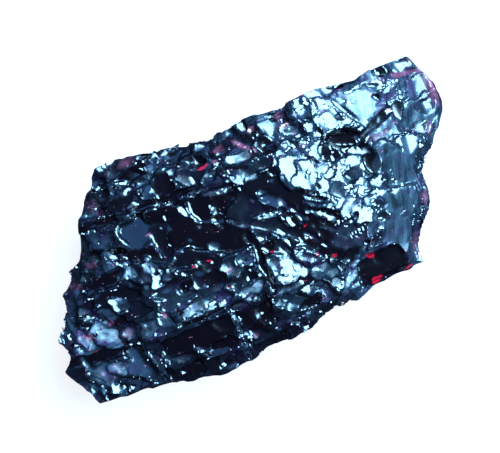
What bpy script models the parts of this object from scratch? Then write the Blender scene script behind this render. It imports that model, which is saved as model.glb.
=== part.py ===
"""Raw garnet: one broken lump of dark red garnet, lying on its flattest side.

The lump is a single solid. It starts as a slab with the stone's widest outline. Flat partings turn the
slab into a block, and curved flakes, the shell-shaped breaks of a glassy mineral, are struck off it.
X runs along the stone, Z is up, and the origin is at the centre of the box around the stone, at its base.
Lengths are in millimetres and angles in degrees, and the mesh is made in metres.
"""

import math
import random
from collections import namedtuple

import bmesh
import bpy
from mathutils import Matrix, Vector, noise
from mathutils.bvhtree import BVHTree

MM = 0.001
LENGTH = 65.4
WIDTH = 34.9
HEIGHT = 21.5
SLAB = 24.0  # height of the slab before the partings
RIM_DEPTH = 0.55  # how far out of the stone a flake's centre is, as a share of its cutter's height
KEPT_FACES = 0.88  # share of the faces that stays when slivers are cleared
FLAKE_DETAIL = 2  # how finely a flake is rounded
SHARP_ANGLE = 24  # edges that turn more than this stay sharp
WOBBLE = 0.16  # how uneven a flake's rim is, as a share of its radius

# The widest outline from above, anticlockwise from the upper left corner.
OUTLINE = [
    (-16.6, 17.4), (-19.4, 15.2), (-21.8, 12.8), (-23.2, 10.4), (-23.9, 8.4), (-24.6, 6.8), (-26.6, 4.8),
    (-28.4, 1.8), (-29.7, -1.8), (-31.2, -4.4), (-30.9, -6.8), (-31.9, -8.0), (-33.0, -10.0), (-31.8, -13.0),
    (-29.2, -14.6), (-22.0, -15.6), (-17.0, -16.7), (-11.5, -17.4), (-5.5, -17.1), (0.8, -16.0), (8.2, -14.4),
    (13.8, -13.7), (18.8, -13.1), (20.9, -12.1), (21.6, -9.7), (23.4, -7.0), (25.2, -3.8), (26.4, 0.2),
    (28.6, 2.8), (31.0, 5.6), (32.0, 8.2), (32.4, 10.6), (31.8, 12.9), (30.5, 14.1), (29.8, 16.0),
    (23.6, 15.8), (13.0, 16.0), (3.6, 15.8), (-2.4, 16.0), (-8.4, 16.7),
]

# Flat partings: the way each one faces round the stone, its tilt from level, and a point on it.
Parting = namedtuple("Parting", "facing tilt point")
TOP_PARTINGS = [
    Parting(188, 5, (8.0, 3.0, HEIGHT)),  # long left face
    Parting(15, 10, (8.0, 3.0, HEIGHT)),  # bright right face
    Parting(62, 15, (9.0, 9.0, 20.7)),  # bright right face, towards the back
    Parting(2, 35, (20.8, 6.0, 19.3)),  # right shoulder
    Parting(-28, 29, (14.8, -6.0, 20.2)),  # right shoulder, lower part
    Parting(-78, 36, (15.0, -8.4, 19.4)),  # dark window
    Parting(99, 20, (-9.0, 9.0, 19.8)),  # upper band
    Parting(-92, 30, (-10.0, -8.4, 20.0)),  # lower strip
    Parting(-93, 47, (-10.0, -14.2, 16.4)),  # side below the lower strip
    Parting(200, 25, (-24.5, 0.0, 18.5)),  # left slope
    Parting(150, 38, (-20.5, 12.5, 16.2)),  # upper left corner
]
UNDER_PARTINGS = [
    Parting(0, 125, (31.8, 8.0, 9.5)),
    Parting(-35, 108, (22.6, -9.0, 9.0)),
    Parting(97, 103, (-9.0, 16.7, 11.0)),
    Parting(88, 106, (18.0, 15.8, 11.0)),
    Parting(205, 112, (-31.6, -6.0, 10.0)),
    Parting(148, 108, (-21.8, 12.6, 9.0)),
    Parting(-92, 101, (-10.0, -17.2, 6.5)),
    Parting(-118, 138, (-18.0, -13.6, 3.4)),
    Parting(-62, 132, (12.0, -11.6, 3.2)),
    Parting(66, 140, (16.0, 12.6, 2.8)),
    Parting(124, 134, (-16.0, 12.0, 4.0)),
    Parting(176, 140, (-26.0, -4.0, 3.0)),
]

# Flakes struck from above: middle, half length, half width, depth, turn of the length, and the tilt
# from level and the facing of the hollow's floor.
Flake = namedtuple("Flake", "x y length width depth turn tilt facing")
HOLLOWS = [
    Flake(-3.6, 4.2, 10.8, 4.5, 2.2, -2, 4, 250),  # long dark hollow under the ledge
    Flake(8.8, -3.6, 5.8, 3.2, 1.8, -58, 12, 215),
    Flake(-16.2, 5.6, 5.4, 2.8, 1.3, -8, 6, 200),
    Flake(-21.5, -0.6, 6.6, 2.7, 1.3, -12, 8, 160),
    Flake(-12.5, -3.6, 6.0, 2.4, 1.1, -20, 4, 300),
    Flake(-26.2, -5.0, 5.0, 2.9, 0.9, -25, 14, 40),
    Flake(-9.2, -6.9, 5.8, 1.7, 1.2, 4, 10, 60),
    Flake(3.0, -4.6, 3.6, 4.0, 1.3, 10, 12, 40),
    Flake(-27.0, -11.2, 4.0, 2.5, 1.1, -16, 24, 290),
    Flake(-21.2, -12.1, 3.6, 2.4, 1.1, -12, 26, 280),
    Flake(-11.6, -11.2, 5.4, 2.7, 1.1, 2, 28, 265),
    Flake(-3.2, -11.4, 3.6, 2.9, 1.1, 0, 24, 260),
    Flake(14.8, -10.6, 5.0, 2.4, 0.9, 8, 38, 285),
    Flake(17.2, 6.6, 3.1, 2.3, 1.5, -20, 10, 240),  # upper pit
    Flake(18.4, 3.4, 2.3, 1.9, 1.2, 60, 12, 250),  # lower pit
]
CRACKS = [
    Flake(-11.0, 8.9, 13.5, 0.7, 1.0, -1, 16, 100),  # along the foot of the upper band
    Flake(-0.8, -3.6, 5.2, 0.8, 1.9, 94, 5, 180),
    Flake(-26.4, -8.5, 6.4, 0.7, 1.7, -8, 8, 200),
    Flake(-8.0, -8.8, 7.5, 0.7, 1.1, 2, 20, 270),
    Flake(-20.8, 9.8, 3.6, 0.7, 1.2, -2, 10, 200),
]
LEDGES = [
    # upper band
    Flake(-16.0, 14.6, 3.8, 2.3, 0.7, 8, 22, 80),
    Flake(-11.4, 11.4, 2.9, 2.2, 0.6, 0, 16, 110),
    Flake(-5.8, 12.6, 2.4, 3.4, 0.7, 10, 16, 150),
    Flake(-1.8, 13.4, 2.4, 3.2, 0.8, -20, 22, 60),
    Flake(1.8, 11.3, 2.7, 2.4, 0.8, 0, 16, 80),
    Flake(5.0, 13.0, 2.2, 2.9, 0.7, 15, 18, 100),
    # bright right face
    Flake(8.3, 6.3, 2.1, 3.0, 0.5, -12, 14, 35),
    Flake(9.0, 12.2, 2.2, 3.2, 0.5, 35, 16, 60),
    Flake(11.8, 9.2, 2.7, 2.0, 0.6, -15, 18, 50),
    Flake(13.0, 13.0, 2.4, 2.2, 0.5, 0, 18, 60),
    Flake(12.2, 4.4, 2.4, 1.9, 0.5, 30, 12, 20),
    Flake(13.4, 0.6, 2.4, 1.9, 0.6, 0, 12, 30),
    Flake(16.6, -0.4, 2.4, 1.8, 0.5, 35, 14, 30),
    Flake(13.4, -3.0, 2.5, 1.8, 0.6, -35, 14, 50),
    Flake(13.8, 7.6, 2.2, 1.3, 0.9, 15, 10, 260),
    # right shoulder
    Flake(23.6, 4.4, 7.4, 2.5, 0.6, 74, 33, 0),
    Flake(21.0, -3.4, 6.4, 2.5, 0.6, 62, 30, -20),
    Flake(28.0, 9.2, 4.8, 2.8, 0.7, 80, 38, 5),
    Flake(27.6, 14.2, 3.2, 1.6, 0.6, -5, 30, 40),
    # middle left
    Flake(-8.6, 3.0, 3.8, 2.6, 0.6, -20, 8, 230),
    Flake(3.6, 3.9, 3.4, 1.9, 0.5, -42, 12, 190),
    Flake(-21.0, 4.4, 3.2, 1.7, 0.6, -15, 14, 50),
    Flake(-26.0, 3.4, 2.8, 1.9, 0.6, 25, 20, 120),
    Flake(-16.4, 1.2, 3.2, 1.7, 0.6, -25, 12, 40),
    Flake(-4.4, -1.8, 3.2, 1.8, 0.7, -10, 10, 70),
    Flake(2.2, -2.4, 2.4, 1.7, 0.6, -35, 10, 240),
    Flake(2.6, -6.6, 2.9, 1.8, 0.5, -10, 16, 40),
    Flake(7.2, -8.8, 2.9, 2.0, 0.6, 25, 16, 330),
    # lower strip
    Flake(-18.0, -11.8, 1.8, 3.0, 0.6, 10, 26, 250),
    Flake(3.4, -11.4, 3.2, 2.6, 0.7, 0, 26, 300),
    Flake(-26.8, -14.0, 2.8, 1.4, 0.6, 10, 30, 300),
]

# The clean-edged step near the back: its inner corner, the way its walls run, and its floor's tilt.
STEP_CORNER = (19.4, 8.4)
STEP_SIZE = (6.4, 9.0, 6.0)
STEP_TURN = 20
STEP_TILT = 15
STEP_FACING = 62
STEP_DEPTH = 0.9

# Small flakes that roughen the top: the box they cover, their spacing, half length, half width and turn.
Patch = namedtuple("Patch", "low high spacing length width turn")
PATCH_SEED = 5
PATCH_DEPTH = (0.35, 0.75)
PATCH_LEAN = 9  # the most that a small flake's floor leans from the face it is on
PATCHES = [
    Patch((-22.0, 9.8), (7.0, 15.6), (4.1, 3.2), 2.9, 2.1, 10),
    Patch((-30.0, -8.0), (1.0, 8.0), (5.6, 3.1), 3.8, 2.0, -12),
    Patch((-31.0, -14.4), (9.0, -9.0), (4.6, 2.9), 3.1, 2.0, 0),
    Patch((7.0, -6.0), (17.0, 15.5), (3.3, 2.9), 2.3, 1.8, 40),
    Patch((19.5, -11.0), (31.0, 14.0), (5.6, 6.4), 4.6, 2.6, 75),
    Patch((2.0, -8.0), (10.0, 7.0), (4.0, 3.6), 2.6, 2.0, -50),
]

# Flakes off the sides, each level with every second point of the outline, by a seeded choice.
Row = namedtuple("Row", "first height size depth")
SIDE_SEED = 11
SIDE_ROWS = [Row(0, 3.0, 1.3, 1.5), Row(1, 7.5, 1.0, 1.0), Row(0, 13.0, 0.9, 0.6), Row(1, 16.5, 0.8, 0.5)]
SIDE_LENGTH = (4.5, 7.5)
SIDE_WIDTH = (2.8, 4.4)
ENDS = (-28.5, 26.5)  # the two ends keep their outline: past these, side flakes stay below END_HEIGHT
END_HEIGHT = 8.5

GARNET_RED = (0.075, 0.006, 0.014, 1.0)
GARNET_ROUGHNESS = 0.12


def frame(normal, turn):
    """Rotation whose Z is the normal and whose X points as near as it can along the turn."""
    along = Vector((math.cos(math.radians(turn)), math.sin(math.radians(turn)), 0.0))
    z = normal.normalized()
    y = z.cross(along).normalized()
    return Matrix((y.cross(z), y, z)).transposed().to_4x4()


def cut_parting(bm, parting):
    """Takes off what lies outside one flat parting, and closes the stone there."""
    section = bmesh.ops.bisect_plane(
        bm,
        geom=bm.verts[:] + bm.edges[:] + bm.faces[:],
        plane_co=Vector(parting.point) * MM,
        plane_no=direction(parting.facing, parting.tilt),
        dist=1e-7,
        clear_outer=True,
    )
    rim = [part for part in section["geom_cut"] if isinstance(part, bmesh.types.BMEdge)]
    bmesh.ops.holes_fill(bm, edges=rim)


def make_block():
    """The slab inside the outline, cut by its partings."""
    bm = bmesh.new()
    corners = [bm.verts.new((x * MM, y * MM, 0.0)) for x, y in OUTLINE]
    base = bm.faces.new(corners)
    raised = bmesh.ops.extrude_face_region(bm, geom=[base])["geom"]
    bmesh.ops.translate(
        bm, verts=[part for part in raised if isinstance(part, bmesh.types.BMVert)], vec=(0.0, 0.0, SLAB * MM)
    )
    bmesh.ops.recalc_face_normals(bm, faces=bm.faces[:])
    for parting in TOP_PARTINGS + UNDER_PARTINGS:
        cut_parting(bm, parting)
    mesh = bpy.data.meshes.new("garnet")
    bm.to_mesh(mesh)
    bm.free()
    return bpy.data.objects.new("garnet", mesh)


def surface(stone):
    """The stone as it is now, for finding where a flake starts."""
    bpy.context.view_layer.update()
    return BVHTree.FromObject(stone, bpy.context.evaluated_depsgraph_get())


def direction(facing, tilt):
    """The unit vector that leans from straight up by the tilt, towards the facing."""
    facing, tilt = math.radians(facing), math.radians(tilt)
    return Vector((math.cos(facing) * math.sin(tilt), math.sin(facing) * math.sin(tilt), math.cos(tilt)))


def add_cutter(name, bm, group):
    """Makes a cutter of the mesh being edited, out of the render, in the group."""
    mesh = bpy.data.meshes.new(name)
    bm.to_mesh(mesh)
    bm.free()
    cutter = bpy.data.objects.new(name, mesh)
    cutter.hide_render = True
    cutter.display_type = "WIRE"
    group.objects.link(cutter)


def flake_cutter(name, seat, outward, flake, group):
    """A flattened, uneven ball that leaves a shell-shaped hollow of the flake's size at the seat."""
    height = flake.depth / (1 - RIM_DEPTH)
    spread = math.sqrt(1 - RIM_DEPTH**2)
    shape = Matrix.Diagonal((flake.length / spread * MM, flake.width / spread * MM, height * MM, 1.0))
    middle = Matrix.Translation(seat + outward * height * RIM_DEPTH * MM)
    bm = bmesh.new()
    bmesh.ops.create_icosphere(bm, subdivisions=FLAKE_DETAIL, radius=1.0)
    for vert in bm.verts:
        sample = vert.co * 1.3 + seat / MM
        vert.co *= 1 + WOBBLE * noise.noise(sample)
    bm.transform(middle @ frame(outward, flake.turn) @ shape)
    add_cutter(name, bm, group)


def step_cutter(name, seat, group):
    """A box whose lower corner is at the seat, for the clean-edged step."""
    bm = bmesh.new()
    bmesh.ops.create_cube(bm, size=1.0)
    bmesh.ops.translate(bm, verts=bm.verts[:], vec=(0.5, 0.5, 0.5))
    shape = Matrix.Diagonal((*(side * MM for side in STEP_SIZE), 1.0))
    up = direction(STEP_FACING, STEP_TILT)
    bm.transform(Matrix.Translation(seat - up * STEP_DEPTH * MM) @ frame(up, STEP_TURN) @ shape)
    add_cutter(name, bm, group)


def new_group(name):
    """A collection for the cutters that are taken off the stone together."""
    group = bpy.data.collections.new(name)
    bpy.context.scene.collection.children.link(group)
    return group


def keep_result(stone):
    """Makes the result of the stone's modifiers its own mesh."""
    graph = bpy.context.evaluated_depsgraph_get()
    graph.update()
    mesh = bpy.data.meshes.new_from_object(stone.evaluated_get(graph))
    stone.modifiers.clear()
    stone.data = mesh


def take_off(stone, group):
    """Takes a group of cutters off the stone."""
    modifier = stone.modifiers.new(group.name, "BOOLEAN")
    modifier.operand_type = "COLLECTION"
    modifier.collection = group
    modifier.operation = "DIFFERENCE"
    modifier.solver = "EXACT"
    keep_result(stone)


def drop(skin, x, y):
    """Where a line dropped from above meets the stone, and the way the stone faces there."""
    seat, outward, _, _ = skin.ray_cast(Vector((x, y, 2 * SLAB)) * MM, Vector((0, 0, -1)))
    return seat, outward


def strike_top(stone, name, flakes):
    """Takes the listed flakes off the top."""
    skin = surface(stone)
    group = new_group(name)
    for index, flake in enumerate(flakes):
        seat = drop(skin, flake.x, flake.y)[0]
        outward = direction(flake.facing, flake.tilt)
        flake_cutter(f"{name}_{index:02d}", seat, outward, flake, group)
    take_off(stone, group)


def strike_patches(stone):
    """Covers the top in small overlapping flakes, patch by patch."""
    chance = random.Random(PATCH_SEED)
    skin = surface(stone)
    group = new_group("patch")
    for number, patch in enumerate(PATCHES):
        counts = [round((high - low) / step) for low, high, step in zip(patch.low, patch.high, patch.spacing)]
        for index in range(counts[0] * counts[1]):
            column, row = index % counts[0], index // counts[0]
            x = patch.low[0] + patch.spacing[0] * (column + row % 2 / 2 + chance.uniform(0.2, 0.8))
            y = patch.low[1] + patch.spacing[1] * (row + chance.uniform(0.2, 0.8))
            size = chance.uniform(0.8, 1.2)
            turn = patch.turn + chance.uniform(-35, 35)
            lean = Vector((chance.uniform(-1, 1), chance.uniform(-1, 1), 0)) * math.radians(PATCH_LEAN)
            seat, outward = drop(skin, x, y)
            if seat is None:
                continue
            flake = Flake(x, y, patch.length * size, patch.width * size, chance.uniform(*PATCH_DEPTH), turn, 0, 0)
            flake_cutter(f"patch_{number}_{index:02d}", seat, (outward + lean).normalized(), flake, group)
    take_off(stone, group)


def strike_step(stone):
    """Takes the clean-edged step out of the bright face."""
    group = new_group("step")
    step_cutter("step_box", drop(surface(stone), *STEP_CORNER)[0], group)
    take_off(stone, group)


def strike_sides(stone):
    """Takes flakes off all round the stone, in rows at set heights."""
    chance = random.Random(SIDE_SEED)
    skin = surface(stone)
    group = new_group("side")
    for number, row in enumerate(SIDE_ROWS):
        for index, (x, y) in enumerate(OUTLINE[row.first::2]):
            height = row.height + chance.uniform(-1.2, 1.2)
            size = row.size * chance.uniform(*SIDE_LENGTH), row.size * chance.uniform(*SIDE_WIDTH)
            flake = Flake(0, 0, *size, row.depth * chance.uniform(0.5, 1), chance.uniform(0, 180), 0, 0)
            seat, outward, _, _ = skin.ray_cast(Vector((x, 2 * y, height)) * MM, Vector((-x / 2, -y, 0)))
            if seat is None or seat.z > END_HEIGHT * MM and not ENDS[0] < seat.x / MM < ENDS[1]:
                continue
            flake_cutter(f"side_{number}_{index:02d}", seat, outward, flake, group)
    take_off(stone, group)


def islands(bm):
    """The groups of points that are joined by edges, the largest group last."""
    groups, left = [], set(bm.verts)
    while left:
        group, edge = set(), {left.pop()}
        while edge:
            group |= edge
            edge = {link.other_vert(vert) for vert in edge for link in vert.link_edges} - group
        left -= group
        groups.append(group)
    return sorted(groups, key=len)


def drop_chips(stone):
    """Clears away the chips that the flakes cut loose."""
    bm = bmesh.new()
    bm.from_mesh(stone.data)
    for chip in islands(bm)[:-1]:
        bmesh.ops.delete(bm, geom=list(chip), context="VERTS")
    bmesh.ops.triangulate(bm, faces=bm.faces[:])
    bm.to_mesh(stone.data)
    bm.free()


def thin_out(stone):
    """Drops the faces that matter least, such as the slivers where flakes meet."""
    stone.modifiers.new("thin_out", "DECIMATE").ratio = KEPT_FACES
    keep_result(stone)


def settle(stone):
    """Fits the stone to its size, with the origin under its middle, and keeps its ridges sharp."""
    mesh = stone.data
    low = Vector(min(vert.co[axis] for vert in mesh.vertices) for axis in range(3))
    high = Vector(max(vert.co[axis] for vert in mesh.vertices) for axis in range(3))
    middle = (low + high) / 2
    middle.z = low.z
    size = Vector((LENGTH, WIDTH, HEIGHT)) * MM
    fit = Matrix.Diagonal((*(size[axis] / (high - low)[axis] for axis in range(3)), 1.0))
    mesh.transform(fit @ Matrix.Translation(-middle))
    mesh.shade_smooth()
    mesh.set_sharp_from_angle(angle=math.radians(SHARP_ANGLE))


def garnet():
    """Dark red garnet, which looks nearly black in a lump and is as glossy as glass where it broke."""
    material = bpy.data.materials.new("garnet")
    material.use_nodes = True
    shader = material.node_tree.nodes["Principled BSDF"]
    shader.inputs["Base Color"].default_value = GARNET_RED
    shader.inputs["Roughness"].default_value = GARNET_ROUGHNESS
    shader.inputs["Metallic"].default_value = 0.0
    return material


def main():
    for old in list(bpy.data.objects):
        bpy.data.objects.remove(old)
    stone = make_block()
    parts = bpy.data.collections.new("raw_garnet")
    bpy.context.scene.collection.children.link(parts)
    parts.objects.link(stone)
    strike_sides(stone)
    strike_patches(stone)
    strike_top(stone, "hollow", HOLLOWS)
    strike_top(stone, "ledge", LEDGES)
    strike_top(stone, "crack", CRACKS)
    strike_step(stone)
    drop_chips(stone)
    thin_out(stone)
    settle(stone)
    stone.data.materials.append(garnet())


main()
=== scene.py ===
"""Raw garnet: one broken lump of dark red garnet on a pale table, seen from straight above."""

import math

import bmesh
import bpy
import numpy as np
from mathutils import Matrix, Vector, noise
from mathutils.kdtree import KDTree


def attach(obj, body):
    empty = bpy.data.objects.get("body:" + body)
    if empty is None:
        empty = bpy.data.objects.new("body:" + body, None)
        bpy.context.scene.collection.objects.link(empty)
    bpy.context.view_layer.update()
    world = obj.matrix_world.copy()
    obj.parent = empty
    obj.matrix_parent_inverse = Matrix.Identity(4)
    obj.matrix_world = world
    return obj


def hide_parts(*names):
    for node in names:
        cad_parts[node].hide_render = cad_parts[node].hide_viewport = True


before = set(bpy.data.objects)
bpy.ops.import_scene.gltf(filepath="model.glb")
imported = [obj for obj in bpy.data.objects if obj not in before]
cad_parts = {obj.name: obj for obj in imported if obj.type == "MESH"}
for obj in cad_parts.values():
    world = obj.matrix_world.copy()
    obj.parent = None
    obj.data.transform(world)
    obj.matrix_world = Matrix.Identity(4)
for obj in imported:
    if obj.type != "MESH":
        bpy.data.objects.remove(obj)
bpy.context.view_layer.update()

# The camera
# An 85 mm lens straight above the stone, turned so that the stone's length climbs to the right.
MM = 0.001
VIEW_TURN = math.radians(21)
VIEW_SPAN = 500 / 7.0 * MM  # width of what the frame takes in, at the height of the stone's rim
VIEW_CENTRE = (-0.23 * MM, 1.39 * MM)
RIM_HEIGHT = 14 * MM
LENS, SENSOR = 85, 36

camera = bpy.data.objects.new("camera", bpy.data.cameras.new("camera"))
camera.data.lens = LENS
camera.data.sensor_width = SENSOR
camera.location = (*VIEW_CENTRE, RIM_HEIGHT + VIEW_SPAN * LENS / SENSOR)
camera.rotation_euler = (0, 0, -VIEW_TURN)
bpy.context.scene.collection.objects.link(camera)
bpy.context.scene.camera = camera

# The stone
# Almandine garnet, broken off a larger piece. It has no cleavage, so it breaks like glass: every face is
# covered in shell-shaped flakes, from broad hollows down to chips under a millimetre.
VOXEL = 0.16 * MM  # how fine the stone's skin is
SEED = 3
TRIANGLES = 195000
noise.seed_set(SEED)


def surface_arrays(mesh):
    """The mesh's points and their normals, in millimetres."""
    points = np.empty(len(mesh.vertices) * 3)
    normals = np.empty(len(mesh.vertices) * 3)
    mesh.vertices.foreach_get("co", points)
    mesh.vertex_normals.foreach_get("vector", normals)
    return points.reshape(-1, 3) / MM, normals.reshape(-1, 3)


def place_points(mesh, points):
    """Moves the mesh's points to where these are, in millimetres."""
    mesh.vertices.foreach_set("co", (points * MM).ravel())
    mesh.update()


def apply_modifiers(piece):
    """Makes the piece's modified shape its own mesh."""
    graph = bpy.context.evaluated_depsgraph_get()
    graph.update()
    mesh = bpy.data.meshes.new_from_object(piece.evaluated_get(graph))
    piece.modifiers.clear()
    piece.data = mesh
    return mesh


def keep_body(mesh):
    """Drops any loose crumbs, leaving what hangs together with the lowest point."""
    shell = bmesh.new()
    shell.from_mesh(mesh)
    reached = {min(shell.verts, key=lambda vert: vert.co.z)}
    rim = list(reached)
    while rim:
        vert = rim.pop()
        found = {link.other_vert(vert) for link in vert.link_edges} - reached
        reached |= found
        rim += found
    bmesh.ops.delete(shell, geom=[vert for vert in shell.verts if vert not in reached], context="VERTS")
    shell.to_mesh(mesh)
    shell.free()


def add_skin(piece, soften):
    """Makes the piece one even skin of small faces, with its steps evened out a few times over."""
    remesh = piece.modifiers.new("skin", "REMESH")
    remesh.mode = "VOXEL"
    remesh.voxel_size = VOXEL
    ease = piece.modifiers.new("ease", "SMOOTH")
    ease.factor = 0.5
    ease.iterations = soften
    mesh = apply_modifiers(piece)
    keep_body(mesh)
    return mesh


rough = bmesh.new()
rough.from_mesh(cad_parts["garnet"].data)
bmesh.ops.remove_doubles(rough, verts=rough.verts[:], dist=1e-7)
stone_mesh = bpy.data.meshes.new("garnet_stone")
rough.to_mesh(stone_mesh)
rough.free()
stone = bpy.data.objects.new("garnet_stone", stone_mesh)
bpy.context.scene.collection.objects.link(stone)
stone_mesh = add_skin(stone, 1)

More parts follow.
